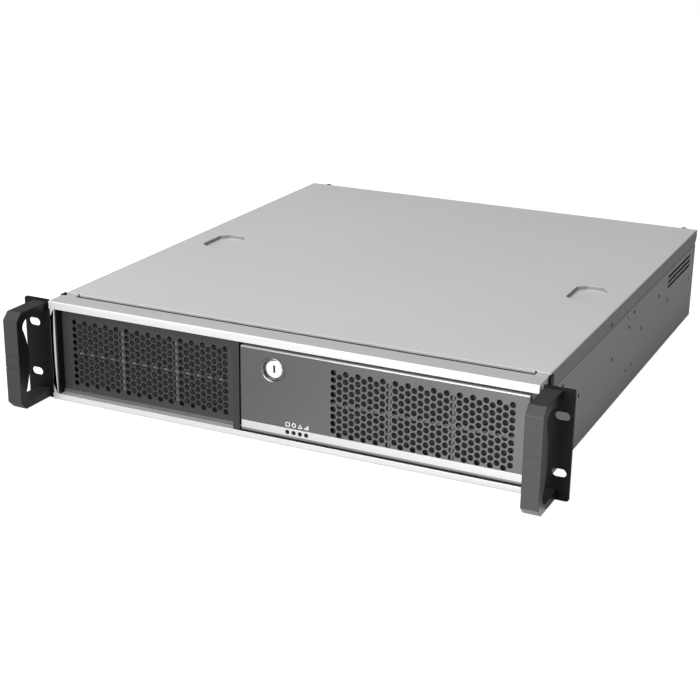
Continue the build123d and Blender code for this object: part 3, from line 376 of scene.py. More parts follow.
# %% Paints and plastics
cover_paint = coated("cover_paint", (0.6, 0.6, 0.602), 0.5, cloud=0.02, fleck=0.05, specular=0.3,
                     painted_light_and_shade=cover_painted_shade)
tray_paint = coated("tray_paint", (0.53, 0.53, 0.533), 0.5, cloud=0.03, fleck=0.05, specular=0.3,
                    painted_light_and_shade=tray_painted_shade)
black_paint = coated("black_paint", (0.009, 0.009, 0.01), 0.4, bump=0.05, cloud=0.15, specular=0.12)
panel_paint = coated("panel_paint", (0.036, 0.036, 0.038), 0.45, metallic=0.2, fleck=0.15,
                     painted_light_and_shade=panel_painted_light)
door_paint = coated("door_paint", (0.11, 0.11, 0.113), 0.36, metallic=0.5, fleck=0.2, coat=0.5,
                    coat_roughness=0.12, painted_light_and_shade=door_painted_light)
surround_plastic = coated("surround_plastic", (0.022, 0.022, 0.023), 0.4, grain=1500)
handle_paint = coated("handle_paint", (0.036, 0.036, 0.038), 0.38, bump=0.04, cloud=0.1, painted_light_and_shade=handle_painted_shade)
black_plastic = coated("black_plastic", (0.015, 0.015, 0.016), 0.4, grain=1500)
filter_plastic = coated("filter_plastic", (0.1, 0.1, 0.1), 0.5, grain=1500)
rotor_plastic = coated("rotor_plastic", (0.02, 0.02, 0.021), 0.35, grain=1500)
print("finishes so far:", len(bpy.data.materials))

# %% [markdown]
# Bare and plated metal
#
# The silver front is anodised: its brush lines run along its length. A noise that is stretched
# along X draws them. They change the gloss more than the colour, as real brush lines do. Zinc
# plated steel has large soft spangles instead, which a Voronoi pattern gives.

# %% Brushed and plated metal
def brushed(name, colour, roughness, stretch=(4, 900, 900), metallic=1.0, depth=0.006):
    """Metal with brush lines along the axis whose stretch is small."""
    material, tree, shader, place = new_finish(name)
    shader.inputs["Metallic"].default_value = metallic
    mapping = tree.nodes.new("ShaderNodeMapping")
    mapping.inputs["Scale"].default_value = stretch
    tree.links.new(place, mapping.inputs["Vector"])
    lines = noise(tree, mapping.outputs[0], 3.0, 3.0)
    relief(tree, shader, lines, depth, 0.3)
    gloss = ranged(tree, lines, roughness - 0.06, roughness + 0.06)
    colour_and_gloss(tree, shader, colour, ranged(tree, lines, 0.93, 1.05), gloss)
    return material


def plated(name, colour, roughness):
    """Zinc plated sheet: soft spangles a few millimetres wide."""
    material, tree, shader, place = new_finish(name)
    shader.inputs["Metallic"].default_value = 0.7
    spangle = tree.nodes.new("ShaderNodeTexVoronoi")
    spangle.inputs["Scale"].default_value = 160.0
    tree.links.new(place, spangle.inputs["Vector"])
    grey = tree.nodes.new("ShaderNodeSeparateColor")
    tree.links.new(spangle.outputs["Color"], grey.inputs[0])
    gloss = ranged(tree, grey.outputs[0], roughness - 0.07, roughness + 0.07)
    colour_and_gloss(tree, shader, colour, ranged(tree, grey.outputs[0], 0.88, 1.06), gloss)
    return material


silver_anodised = brushed("silver_anodised", (0.7, 0.705, 0.71), 0.42, metallic=0.4)
trim_silver = brushed("trim_silver", (0.61, 0.615, 0.62), 0.42, metallic=0.4)
chrome = brushed("chrome", (0.95, 0.95, 0.95), 0.2, stretch=(60, 60, 60), metallic=0.3)
dark_nickel = brushed("dark_nickel", (0.2, 0.2, 0.2), 0.22, stretch=(60, 60, 60), metallic=0.9)
screw_steel = brushed("screw_steel", (0.6, 0.6, 0.61), 0.28, stretch=(200, 200, 200))
brass = brushed("brass", (0.62, 0.45, 0.18), 0.3, stretch=(300, 300, 30))
zinc_sheet = plated("zinc_sheet", (0.46, 0.47, 0.48), 0.48)
print("finishes so far:", len(bpy.data.materials))

# %% [markdown]
# Foam, clear plastic and circuit board
#
# The filters' foam is an open mesh of dark cells, so a Voronoi pattern of about a millimetre gives
# both its colour and its bump. The indicator lights are smoked plastic, dark while they are off.
# The two small boards are green with a faint network of tracks.

# %% Foam, lights and boards
def cellular(name, dark, light, scale, bump, roughness):
    """Two tones by cell, with the cells pressed in."""
    material, tree, shader, place = new_finish(name)
    shader.inputs["Roughness"].default_value = roughness
    cells = tree.nodes.new("ShaderNodeTexVoronoi")
    cells.feature = "DISTANCE_TO_EDGE"
    cells.inputs["Scale"].default_value = scale
    tree.links.new(place, cells.inputs["Vector"])
    ramp = tree.nodes.new("ShaderNodeValToRGB")
    ramp.color_ramp.elements[0].color = (*light, 1)
    ramp.color_ramp.elements[1].color = (*dark, 1)
    ramp.color_ramp.elements[1].position = 0.25
    tree.links.new(cells.outputs["Distance"], ramp.inputs["Fac"])
    tree.links.new(ramp.outputs["Color"], shader.inputs["Base Color"])
    relief(tree, shader, cells.outputs["Distance"], bump, 1.0).invert = True
    return material


foam = cellular("foam", (0.004, 0.004, 0.004), (0.06, 0.06, 0.062), 700.0, 0.3, 0.9)
board_green = cellular("board_green", (0.01, 0.09, 0.035), (0.02, 0.14, 0.06), 260.0, 0.05, 0.4)
light_plastic = coated("light_plastic", (0.003, 0.003, 0.004), 0.3, specular=0.2)
icon_print = coated("icon_print", (0.8, 0.8, 0.8), 0.5)
print("finishes in all:", len(bpy.data.materials))

# %% [markdown]
# Edges that catch the light
#
# A computed solid has perfectly sharp edges, and nothing real does. Folded sheet and moulded
# plastic show a thin bright line along each edge. So each solid is copied, its loose triangles are
# merged into flat faces, and every edge that turns more than 30 degrees gets a small bevel.

# %% Softened copies of the solids
sharp_angle = math.radians(30)
merge_distance = 2e-6


def mesh_of(shape, name):
    """Turns a bmesh into a mesh and frees it."""
    mesh = bpy.data.meshes.new(name)
    shape.to_mesh(mesh)
    shape.free()
    return mesh


def smooth(mesh):
    """Shades a mesh smooth, except at the edges that turn more than the sharp angle."""
    mesh.shade_smooth()
    mesh.set_sharp_from_angle(angle=sharp_angle)
    return mesh


def add_piece(name, mesh, material, body, slot, *stands_for):
    """Puts a mesh in the scene as a piece that rides on a body, in place of the named nodes."""
    mesh.materials.clear()
    mesh.materials.append(material)
    piece = bpy.data.objects.new(name, mesh)
    scene.collection.objects.link(piece)
    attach(piece, body)
    if stands_for:
        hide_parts(*stands_for)
    return piece


def with_flat_faces(mesh):
    """The same mesh with normals that follow its large faces, so that only the bevels look rounded."""
    item = bpy.data.objects.new(mesh.name, mesh)
    scene.collection.objects.link(item)
    modifier = item.modifiers.new("flat_faces", "WEIGHTED_NORMAL")
    modifier.keep_sharp = True
    weighted = bpy.data.meshes.new_from_object(item.evaluated_get(bpy.context.evaluated_depsgraph_get()))
    bpy.data.objects.remove(item)
    return weighted


def softened(node, material, slot, width, segments=2):
    """A copy of a solid with bevelled edges, which is shown in its place."""
    source = nodes[node]
    shape = bmesh.new()
    shape.from_mesh(source.data)
    bmesh.ops.remove_doubles(shape, verts=shape.verts, dist=merge_distance)
    bmesh.ops.dissolve_limit(shape, angle_limit=math.radians(0.5), verts=shape.verts, edges=shape.edges)
    edges = [edge for edge in shape.edges if edge.is_manifold and edge.calc_face_angle(0) > sharp_angle]
    bmesh.ops.bevel(shape, geom=edges, offset=width / 1000, segments=segments, profile=0.5,
                    affect="EDGES", clamp_overlap=True)
    mesh = with_flat_faces(smooth(mesh_of(shape, node + "_soft")))
    return add_piece(node + "_soft", mesh, material, source["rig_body"], slot, node)


softened("top_cover", cover_paint, "cover_grey", 0.2)
softened("chassis_tray", tray_paint, "steel_body", 0.2)
softened("bezel_frame", silver_anodised, "silver_bezel", 0.4, 3)
softened("door_surround", surround_plastic, "surround_grey", 0.3)
softened("handle_left", handle_paint, "handle_grey", 0.7, 3)
softened("handle_right", handle_paint, "handle_grey", 0.7, 3)
softened("ear_left", black_paint, "black_steel", 0.25)
softened("ear_right", black_paint, "black_steel", 0.25)
softened("front_wall", black_paint, "black_steel", 0.2)
softened("rear_wall", zinc_sheet, "steel_body", 0.15)
softened("door_trim", trim_silver, "silver_bezel", 0.12)

# %% Finishes of the solids that keep their own shape
kept = {
    "hinge_pins": (screw_steel, "bright_screw"),
    "board_standoffs": (brass, "brass_standoff"),
    "filter_holder": (filter_plastic, "filter_plastic"),
    "door_filter_holder": (filter_plastic, "filter_plastic"),
    "filter_foam": (foam, "foam"),
    "door_filter_foam": (foam, "foam"),
    "control_plate": (black_plastic, "black_plastic"),
    "power_button": (black_plastic, "black_plastic"),
    "reset_button": (black_plastic, "black_plastic"),
    "indicator_lights": (light_plastic, "clear_light"),
    "light_board": (board_green, "green_board"),
    "control_board": (board_green, "green_board"),
}
for node in ("slot_blanks", "fan_wall", "disk_cage", "bay_cage", "psu_cradle", "usb_ports", "lock_cam"):
    kept[node] = (zinc_sheet, "steel_body")
for number in (1, 2, 3):
    kept[f"fan_frame_{number}"] = (black_plastic, "black_plastic")
    kept[f"fan_rotor_{number}"] = (rotor_plastic, "black_plastic")
for node, (material, slot) in kept.items():
    nodes[node].data.materials.clear()
    nodes[node].data.materials.append(material)
print("kept solids:", len(kept))

# %% [markdown]
# The perforated grilles
#
# Each grille is a sheet punched with 29 columns of round holes, every other column half a pitch
# lower, so that each hole has six neighbours. Cutting them one by one would be slow. Here the
# holes are circles on two grids of points, joined to the sheet's own outline: filling the curves
# leaves every inner loop open, and extruding the result gives the sheet its thickness and the
# holes their walls.

# %% A Geometry Nodes tree that punches a sheet
hole_pitch = 0.006
hole_radius = 0.00245


def tree_with(name, sizes):
    """A node tree with a geometry input, named number inputs and a geometry output."""
    tree = bpy.data.node_groups.new(name, "GeometryNodeTree")
    tree.interface.new_socket(name="Geometry", in_out="INPUT", socket_type="NodeSocketGeometry")
    for label, (kind, value) in sizes.items():
        socket = tree.interface.new_socket(name=label, in_out="INPUT", socket_type=kind)
        socket.default_value = value
    tree.interface.new_socket(name="Material", in_out="INPUT", socket_type="NodeSocketMaterial")
    tree.interface.new_socket(name="Geometry", in_out="OUTPUT", socket_type="NodeSocketGeometry")
    return tree, tree.nodes.new("NodeGroupInput"), tree.nodes.new("NodeGroupOutput")


def punched_sheet_tree():
    """Outline curves in, a sheet with a staggered field of round holes out, in the XZ plane."""
    sizes = {
        "Pitch": ("NodeSocketFloat", hole_pitch),
        "Hole radius": ("NodeSocketFloat", hole_radius),
        "Columns": ("NodeSocketInt", 15),
        "Rows": ("NodeSocketInt", 10),
        "Lowered rows": ("NodeSocketInt", 9),
        "Field X": ("NodeSocketFloat", 0.0),
        "Field top": ("NodeSocketFloat", 0.0),
        "Thickness": ("NodeSocketFloat", 0.0012),
    }
    tree, given, result = tree_with("punched_sheet", sizes)
    link = tree.links.new
    pitch = given.outputs["Pitch"]
    step = math_node(tree, "MULTIPLY", pitch, math.sqrt(3))

    def field(columns, rows, lowered):
        """One grid of hole centres: its columns are two column pitches apart."""
        grid = tree.nodes.new("GeometryNodeMeshGrid")
        link(columns, grid.inputs["Vertices X"])
        link(rows, grid.inputs["Vertices Y"])
        width = math_node(tree, "MULTIPLY", math_node(tree, "SUBTRACT", columns, 1), step)
        height = math_node(tree, "MULTIPLY", math_node(tree, "SUBTRACT", rows, 1), pitch)
        link(width, grid.inputs["Size X"])
        link(height, grid.inputs["Size Y"])
        lift = math_node(tree, "MULTIPLY", height, 0.5)
        drop = math_node(tree, "MULTIPLY", pitch, 0.5 if lowered else 0.0)
        up = math_node(tree, "SUBTRACT", math_node(tree, "SUBTRACT", given.outputs["Field top"], lift), drop)
        centre = tree.nodes.new("ShaderNodeCombineXYZ")
        link(given.outputs["Field X"], centre.inputs["X"])
        link(up, centre.inputs["Y"])
        move = tree.nodes.new("GeometryNodeTransform")
        link(grid.outputs["Mesh"], move.inputs["Geometry"])
        link(centre.outputs[0], move.inputs["Translation"])
        return move.outputs["Geometry"]

    lowered_columns = math_node(tree, "SUBTRACT", given.outputs["Columns"], 1)
    points = tree.nodes.new("GeometryNodeJoinGeometry")
    link(field(given.outputs["Columns"], given.outputs["Rows"], False), points.inputs[0])
    link(field(lowered_columns, given.outputs["Lowered rows"], True), points.inputs[0])
    circle = tree.nodes.new("GeometryNodeCurvePrimitiveCircle")
    circle.inputs["Resolution"].default_value = 16
    link(given.outputs["Hole radius"], circle.inputs["Radius"])
    holes = tree.nodes.new("GeometryNodeInstanceOnPoints")
    link(points.outputs[0], holes.inputs["Points"])
    link(circle.outputs[0], holes.inputs["Instance"])
    real = tree.nodes.new("GeometryNodeRealizeInstances")
    link(holes.outputs[0], real.inputs[0])
    loops = tree.nodes.new("GeometryNodeJoinGeometry")
    link(real.outputs[0], loops.inputs[0])
    link(given.outputs["Geometry"], loops.inputs[0])
    fill = tree.nodes.new("GeometryNodeFillCurve")
    link(loops.outputs[0], fill.inputs["Curve"])
    extrude = tree.nodes.new("GeometryNodeExtrudeMesh")
    extrude.inputs["Individual"].default_value = False
    link(fill.outputs["Mesh"], extrude.inputs["Mesh"])
    link(given.outputs["Thickness"], extrude.inputs["Offset Scale"])
    back = tree.nodes.new("GeometryNodeFlipFaces")
    link(fill.outputs["Mesh"], back.inputs["Mesh"])
    closed = tree.nodes.new("GeometryNodeJoinGeometry")
    link(extrude.outputs["Mesh"], closed.inputs[0])
    link(back.outputs["Mesh"], closed.inputs[0])
    merged = tree.nodes.new("GeometryNodeMergeByDistance")
    merged.inputs["Distance"].default_value = merge_distance
    link(closed.outputs[0], merged.inputs["Geometry"])
    stand = tree.nodes.new("GeometryNodeTransform")
    stand.inputs["Rotation"].default_value = (math.radians(90), 0, 0)
    link(merged.outputs[0], stand.inputs["Geometry"])
    finish = tree.nodes.new("GeometryNodeSetMaterial")
    link(stand.outputs[0], finish.inputs["Geometry"])
    link(given.outputs["Material"], finish.inputs["Material"])
    link(finish.outputs[0], result.inputs["Geometry"])
    return tree


def run_tree(source, tree, values, name):
    """Runs a tree on an object and returns the result as a plain mesh. The object is removed."""
    modifier = source.modifiers.new(tree.name, "NODES")
    modifier.node_group = tree
    for item in tree.interface.items_tree:
        if item.in_out == "INPUT" and item.name in values:
            modifier[item.identifier] = values[item.name]
    bpy.context.view_layer.update()
    evaluated = source.evaluated_get(bpy.context.evaluated_depsgraph_get())
    mesh = bpy.data.meshes.new_from_object(evaluated)
    mesh.name = name
    source.modifiers.clear()
    bpy.data.objects.remove(source)
    return mesh


def outline_curve(name, loops):
    """A curve object with one closed straight-sided loop for each list of points."""
    curve = bpy.data.curves.new(name, "CURVE")
    curve.dimensions = "2D"
    curve.fill_mode = "NONE"
    for loop in loops:
        spline = curve.splines.new("POLY")
        spline.points.add(len(loop) - 1)
        for point, (x, y) in zip(spline.points, loop):
            point.co = (x, y, 0, 1)
        spline.use_cyclic_u = True
    item = bpy.data.objects.new(name, curve)
    scene.collection.objects.link(item)
    return item


def rounded_loop(low_x, low_y, high_x, high_y, radius, steps=5):
    """Corner points of a rounded rectangle, anticlockwise."""
    loop = []
    centres = [(high_x - radius, high_y - radius), (low_x + radius, high_y - radius),
               (low_x + radius, low_y + radius), (high_x - radius, low_y + radius)]
    for quarter, (x, y) in enumerate(centres):
        for index in range(steps + 1):
            angle = math.pi / 2 * (quarter + index / steps)
            loop.append((x + radius * math.cos(angle), y + radius * math.sin(angle)))
    return loop


def round_loop(x, y, radius, steps=32):
    """Points of a circle."""
    turns = [2 * math.pi * index / steps for index in range(steps)]
    return [(x + radius * math.cos(turn), y + radius * math.sin(turn)) for turn in turns]


punch = punched_sheet_tree()
print("nodes in the punching tree:", len(punch.nodes))

# %% Punch the left grille
panel_sheet = 0.0012
panel_face_y = panel_high.y - panel_sheet
field_top = door_high.z - 0.0096
panel_outline = rounded_loop(panel_low.x, panel_low.z, panel_high.x, panel_high.z, 0.0005, 2)
panel_centre_x = (panel_low.x + panel_high.x) / 2
panel_mesh = run_tree(outline_curve("panel_outline", [panel_outline]), punch, {
    "Columns": 15, "Rows": 10, "Lowered rows": 9, "Field X": panel_centre_x,
    "Field top": field_top, "Thickness": panel_sheet, "Material": panel_paint,
}, "left_grille")
panel_mesh.transform(Matrix.Translation((0, panel_face_y + panel_sheet, 0)))
print("left grille triangles:", len(panel_mesh.polygons))

# %% [markdown]
# The hem below the left grille
#
# The sheet's foot is folded forwards into a rounded lip, which shows as a paler band above the bezel's ledge;
# its paint carries painted light as well. It is a short profile pushed along X.

# %% Fold the hem and join it to the grille
def pushed_profile(points, low_x, high_x):
    """A closed profile in the YZ plane, pushed along X and capped."""
    shape = bmesh.new()
    rings = [[shape.verts.new((x, y, z)) for y, z in points] for x in (low_x, high_x)]
    count = len(points)
    for index in range(count):
        after = (index + 1) % count
        shape.faces.new((rings[0][index], rings[0][after], rings[1][after], rings[1][index]))
    shape.faces.new(rings[0][::-1])
    shape.faces.new(rings[1])
    bmesh.ops.recalc_face_normals(shape, faces=shape.faces)
    return shape


hem_depth = 0.0014
hem_steps = 6
post_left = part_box("door_surround")[0].x
hem_points = [(panel_face_y, panel_low.z), (panel_face_y, panel_low.z + hem_height)]
for step in range(1, hem_steps + 1):
    angle = math.pi / 2 * step / hem_steps
    forward, up = hem_depth * math.sin(angle), hem_height * math.cos(angle)
    hem_points.append((panel_face_y - forward, panel_low.z + up))
hem = pushed_profile(hem_points, panel_low.x, post_left - 0.0002)
hem.from_mesh(panel_mesh)
hem.to_mesh(panel_mesh)
hem.free()
add_piece("left_grille", smooth(panel_mesh), panel_paint, "chassis", "grille_grey", "grille_panel")

# %% The fold along the grille's left edge, black as painted shade
fold_points = [(panel_low.y, panel_low.z), (panel_face_y, panel_low.z), (panel_face_y, panel_high.z),
               (panel_low.y, panel_high.z)]
fold_shape = pushed_profile(fold_points, panel_low.x, panel_low.x + panel_sheet)
# Black paint on the fold stands in for the shade inside the pillar.
add_piece("grille_fold", mesh_of(fold_shape, "grille_fold"), black_paint, "chassis", "grille_grey")
print("hem in mm:", round(hem_height * 1000, 1), "high", round(hem_depth * 1000, 1), "deep")

# %% [markdown]
# The door
#
# The door is a shallow pan: a flat face with holes, rolled edges and four short walls. The face
# comes from the same punching tree, with the lock's hole and the four light holes drawn as extra
# loops. The rolled edge is a quarter circle swept round the rounded outline, with the walls behind.

# %% Door face and rolled edge
door_radius = 0.0014
door_sheet = 0.0012
lock_low, lock_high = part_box("lock_plug")
lock_hole_radius = 0.0099
lock_x, lock_z = (lock_low.x + lock_high.x) / 2, (lock_low.z + lock_high.z) / 2
lights_low, lights_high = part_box("indicator_lights")
light_size = lights_high.z - lights_low.z
light_radius = light_size / 2 + 0.00005
light_count = 4
light_z = (lights_high.z + lights_low.z) / 2
light_pitch = (lights_high.x - lights_low.x - light_size) / (light_count - 1)
light_x = [lights_low.x + light_size / 2 + index * light_pitch for index in range(light_count)]
door_grille_x = -panel_centre_x
corner_radius = 0.0015
face_loop = rounded_loop(door_low.x + door_radius, door_low.z + door_radius,
                         door_high.x - door_radius, door_high.z - door_radius, 0.0004)
door_loops = [face_loop, round_loop(lock_x, lock_z, lock_hole_radius)]
door_loops += [round_loop(x, light_z, light_radius, 16) for x in light_x]
door_mesh = run_tree(outline_curve("door_outline", door_loops), punch, {
    "Columns": 15, "Rows": 9, "Lowered rows": 9, "Field X": door_grille_x,
    "Field top": field_top, "Thickness": door_sheet, "Material": door_paint,
}, "door_sheet")
door_mesh.transform(Matrix.Translation((0, door_low.y + door_sheet, 0)))


def rolled_rim(low, high, radius, corner, depth, sheet):
    """Rings of a rounded rectangle from the face's edge, round the rolled edge and back as walls."""
    stations = []
    roll_steps = 5
    for index in range(roll_steps + 1):
        angle = math.pi / 2 * index / roll_steps
        stations.append((radius * (1 - math.sin(angle)), radius * (1 - math.cos(angle))))
    stations += [(0, depth), (sheet, depth), (sheet, sheet)]
    shape = bmesh.new()
    rings = []
    for inset, back in stations:
        ring_corner = max(corner - inset, 0.0004)
        loop = rounded_loop(low.x + inset, low.z + inset, high.x - inset, high.z - inset, ring_corner)
        rings.append([shape.verts.new((x, low.y + back, z)) for x, z in loop])
    for front, behind in zip(rings, rings[1:]):
        for index in range(len(front)):
            after = (index + 1) % len(front)
            shape.faces.new((front[index], behind[index], behind[after], front[after]))
    return shape


door_shape = rolled_rim(door_low, door_high, door_radius, corner_radius, door_high.y - door_low.y, door_sheet)
door_shape.from_mesh(door_mesh)
door_shape.to_mesh(door_mesh)
door_shape.free()
add_piece("door_sheet", smooth(door_mesh), door_paint, "door", "door_grey", "door_panel")
print("door triangles:", len(door_mesh.polygons))

# %% [markdown]
# The lock
#
# The lock is all round, and the eye is quick to see a corner in a circle. So its cup is turned like
# a pot on a wheel: a list of radii and depths is spun round the lock's axis. The plug is a filled
# circle with the key's slot left open, thickened and given a small rounded edge.

# %% Turn the cup and cut the plug
turn_steps = 64
housing_low, housing_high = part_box("lock_housing")
cup_floor_y = lock_low.y
rim_radius = (housing_high.x - housing_low.x) / 2
cup_radius = rim_radius - 0.0014
plug_radius = (lock_high.x - lock_low.x) / 2


def turned(name, profile, x, z):
    """A closed ring of (radius, depth) points, spun about an axis along Y."""
    shape = bmesh.new()
    rings = [[shape.verts.new((across, y, up)) for across, up in round_loop(x, z, radius, turn_steps)]
             for radius, y in profile]
    for first, second in zip(rings, rings[1:] + rings[:1]):
        for index in range(turn_steps):
            after = (index + 1) % turn_steps
            shape.faces.new((first[index], first[after], second[after], second[index]))
    bmesh.ops.recalc_face_normals(shape, faces=shape.faces)
    return smooth(mesh_of(shape, name))


rim_edge = 0.0005
rim_shoulder = 0.3 * rim_edge
bore_radius, neck_radius = plug_radius + 0.00005, lock_hole_radius - 0.0001
housing_profile = [
    (bore_radius, housing_high.y), (bore_radius, cup_floor_y), (cup_radius, cup_floor_y),
    (cup_radius, housing_low.y + rim_edge), (cup_radius + rim_shoulder, housing_low.y + rim_shoulder),
    (cup_radius + rim_edge, housing_low.y), (rim_radius - rim_edge, housing_low.y),
    (rim_radius - rim_shoulder, housing_low.y + rim_shoulder), (rim_radius, housing_low.y + rim_edge),
    (rim_radius, door_low.y), (neck_radius, door_low.y), (neck_radius, housing_high.y),
]
cup_mesh = turned("lock_cup", housing_profile, lock_x, lock_z)
add_piece("lock_cup", cup_mesh, dark_nickel, "door", "black_plastic", "lock_housing")
print("lock in mm:", round(2000 * rim_radius, 1), "wide")

# %% The plug with its key slot
plug_edge = 0.0003
slot_half_width, slot_half_height = 0.0009, 0.0031
plug_length = lock_high.y - lock_low.y
plug_curve = outline_curve("plug_outline", [
    round_loop(0, 0, plug_radius, turn_steps),
    rounded_loop(-slot_half_width, -slot_half_height, slot_half_width, slot_half_height, 0.0003, 3),
])
plug_curve.data.fill_mode = "BOTH"
plug_curve.data.extrude = plug_length / 2 - plug_edge
plug_curve.data.bevel_depth = plug_edge
plug_curve.data.bevel_resolution = 2
plug_curve.data.offset = -plug_edge
plug_mesh = bpy.data.meshes.new_from_object(
    plug_curve.evaluated_get(bpy.context.evaluated_depsgraph_get()))
bpy.data.objects.remove(plug_curve)
upright = Matrix.Rotation(math.radians(90), 4, "X")
plug_mesh.transform(Matrix.Translation((lock_x, (lock_low.y + lock_high.y) / 2, lock_z)) @ upright)
add_piece("lock_core", smooth(plug_mesh), chrome, "lock", "chrome_lock", "lock_plug")
key_depth = 0.0006
key_points = [(lock_low.y + key_depth, lock_z - slot_half_height), (lock_high.y, lock_z - slot_half_height),
              (lock_high.y, lock_z + slot_half_height), (lock_low.y + key_depth, lock_z + slot_half_height)]
key_shape = pushed_profile(key_points, lock_x - slot_half_width, lock_x + slot_half_width)
add_piece("key_way", mesh_of(key_shape, "key_way"), black_plastic, "lock", "chrome_lock")
print("plug in mm:", round(2000 * plug_radius, 1), "wide")

# %% [markdown]
# Four printed signs
#
# Above the lights stand four small white signs. They are plain ones: a square, a ring, a
# triangle and three bars. Each is a flat loop, filled and raised by a twentieth of a millimetre,
# as screen ink is.

# %% Signs above the lights
trim_low, trim_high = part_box("door_trim")
sign_lift = 0.0032
sign_z = trim_high.z + sign_lift
sign_half = 0.0019
ink_height = 0.00005


def ink(name, loops, face_y=door_low.y):
    """Filled loops of ink on a face at a depth; on the door's face if none is given."""
    curve = outline_curve(name, loops)
    curve.data.fill_mode = "BOTH"
    curve.data.extrude = ink_height / 2
    evaluated = curve.evaluated_get(bpy.context.evaluated_depsgraph_get())
    mesh = bpy.data.meshes.new_from_object(evaluated)
    mesh.transform(Matrix.Translation((0, face_y - ink_height / 2, 0)) @ upright)
    bpy.data.objects.remove(curve)
    return mesh


def triangle_loop(x, half_width, foot, peak):
    """An upright triangle; its foot and its peak are measured from the signs' middle."""
    return [(x - half_width, sign_z + foot), (x + half_width, sign_z + foot), (x, sign_z + peak)]


def square_loop(x, half, corner):
    """A square about a sign's middle."""
    return rounded_loop(x - half, sign_z - half, x + half, sign_z + half, corner)


square_x, ring_x, triangle_x, bars_x = light_x
square = [square_loop(square_x, sign_half, 0.0005), square_loop(square_x, 0.0013, 0.0003)]
ring = [round_loop(ring_x, sign_z, sign_half, 24), round_loop(ring_x, sign_z, 0.0012, 24)]
triangle = [triangle_loop(triangle_x, 0.002, -0.0018, 0.002),
            triangle_loop(triangle_x, 0.001, -0.0011, 0.0008)]
bar_width = 0.0009
bars = []
for start, top in ((-0.0019, -0.0006), (-0.0005, 0.0007), (0.0009, 0.0019)):
    left, right = bars_x + start, bars_x + start + bar_width
    bars.append([(left, sign_z - sign_half), (right, sign_z - sign_half), (right, sign_z + top),
                 (left, sign_z + top)])
sign_shape = bmesh.new()
for name, loops in (("square", square), ("ring", ring), ("triangle", triangle), ("bars", bars)):
    sign_shape.from_mesh(ink(name, loops))
add_piece("door_signs", mesh_of(sign_shape, "door_signs"), icon_print, "door", "silver_bezel")

# %% Dark rings round the lights
ring_outer, ring_inner = light_radius + 0.0005, light_radius - 0.0001
ring_shape = bmesh.new()
for x in light_x:
    loops = [round_loop(x, light_z, ring_outer, 24), round_loop(x, light_z, ring_inner, 24)]
    ring_shape.from_mesh(ink("light_ring", loops, trim_low.y))
add_piece("light_rings", mesh_of(ring_shape, "light_rings"), black_plastic, "door", "black_plastic")
print("lights:", light_count, "with a pitch of", round(light_pitch * 1000, 1), "mm")

# %% [markdown]
# The dark groove in the left pillar
#
# A narrow groove runs down the left pillar, and looks dark between two bright edges. A thin black strip at
# its bottom is painted shade for the groove, a little narrower than the groove, so that the edges stay in
# sight.

# %% A black strip as painted shade in the pillar's groove
bezel_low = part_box("bezel_frame")[0]
groove_left_x = bezel_low.x + 0.002
groove_width = 0.0009
groove_depth = 0.001
groove_half_height = 0.0303
strip_thickness = 0.0004
strip_back_y = bezel_low.y + groove_depth
strip_front_y = strip_back_y - strip_thickness
strip_points = [(strip_front_y, -groove_half_height), (strip_back_y, -groove_half_height),
                (strip_back_y, groove_half_height), (strip_front_y, groove_half_height)]
strip_shape = pushed_profile(strip_points, groove_left_x, groove_left_x + groove_width)
# Painted shade: a black strip at the groove's bottom.
add_piece("groove_strip", mesh_of(strip_shape, "groove_strip"), black_plastic, "chassis", "black_plastic")
print("groove in mm:", round(groove_width * 1000, 1), "wide")

# %% [markdown]
# Screws
#
# The small screws are all alike: a low domed head with a cross recess. One head is made by
# turning a profile, and a Geometry Nodes tree sets it on a list of points, each turned to face
# out of its sheet.

# %% Screw heads
def screw_head(radius, height, recess):
    """A domed head on the XY plane, facing +Z, with a cross cut into it."""
    shape = bmesh.new()
    steps = 20
    profile = [(radius, 0), (radius, height * 0.35), (radius * 0.86, height * 0.75), (radius * 0.55, height)]
    rings = [[shape.verts.new((x, y, z)) for x, y in round_loop(0, 0, ring_radius, steps)]
             for ring_radius, z in profile]
    for low_ring, high_ring in zip(rings, rings[1:]):
        for i in range(steps):
            j = (i + 1) % steps
            shape.faces.new((low_ring[i], low_ring[j], high_ring[j], high_ring[i]))
    arm, half = radius * 0.5, radius * 0.14
    cross = [(half, half), (half, arm), (-half, arm), (-half, half), (-arm, half), (-arm, -half),
             (-half, -half), (-half, -arm), (half, -arm), (half, -half), (arm, -half), (arm, half)]
    mouth = [shape.verts.new((x, y, height)) for x, y in cross]
    floor_ring = [shape.verts.new((x * 0.7, y * 0.7, height - recess)) for x, y in cross]
    count = len(cross)
    for i in range(count):
        j = (i + 1) % count
        shape.faces.new((mouth[i], mouth[j], floor_ring[j], floor_ring[i]))
    shape.faces.new(floor_ring)
    edges = [shape.edges.get((mouth[i], mouth[(i + 1) % count])) for i in range(count)]
    edges += [shape.edges.get((rings[-1][i], rings[-1][(i + 1) % steps])) for i in range(steps)]
    bmesh.ops.triangle_fill(shape, use_beauty=True, edges=edges)
    shape.faces.new(rings[0][::-1])
    bmesh.ops.recalc_face_normals(shape, faces=shape.faces)
    return smooth(mesh_of(shape, "screw_head"))


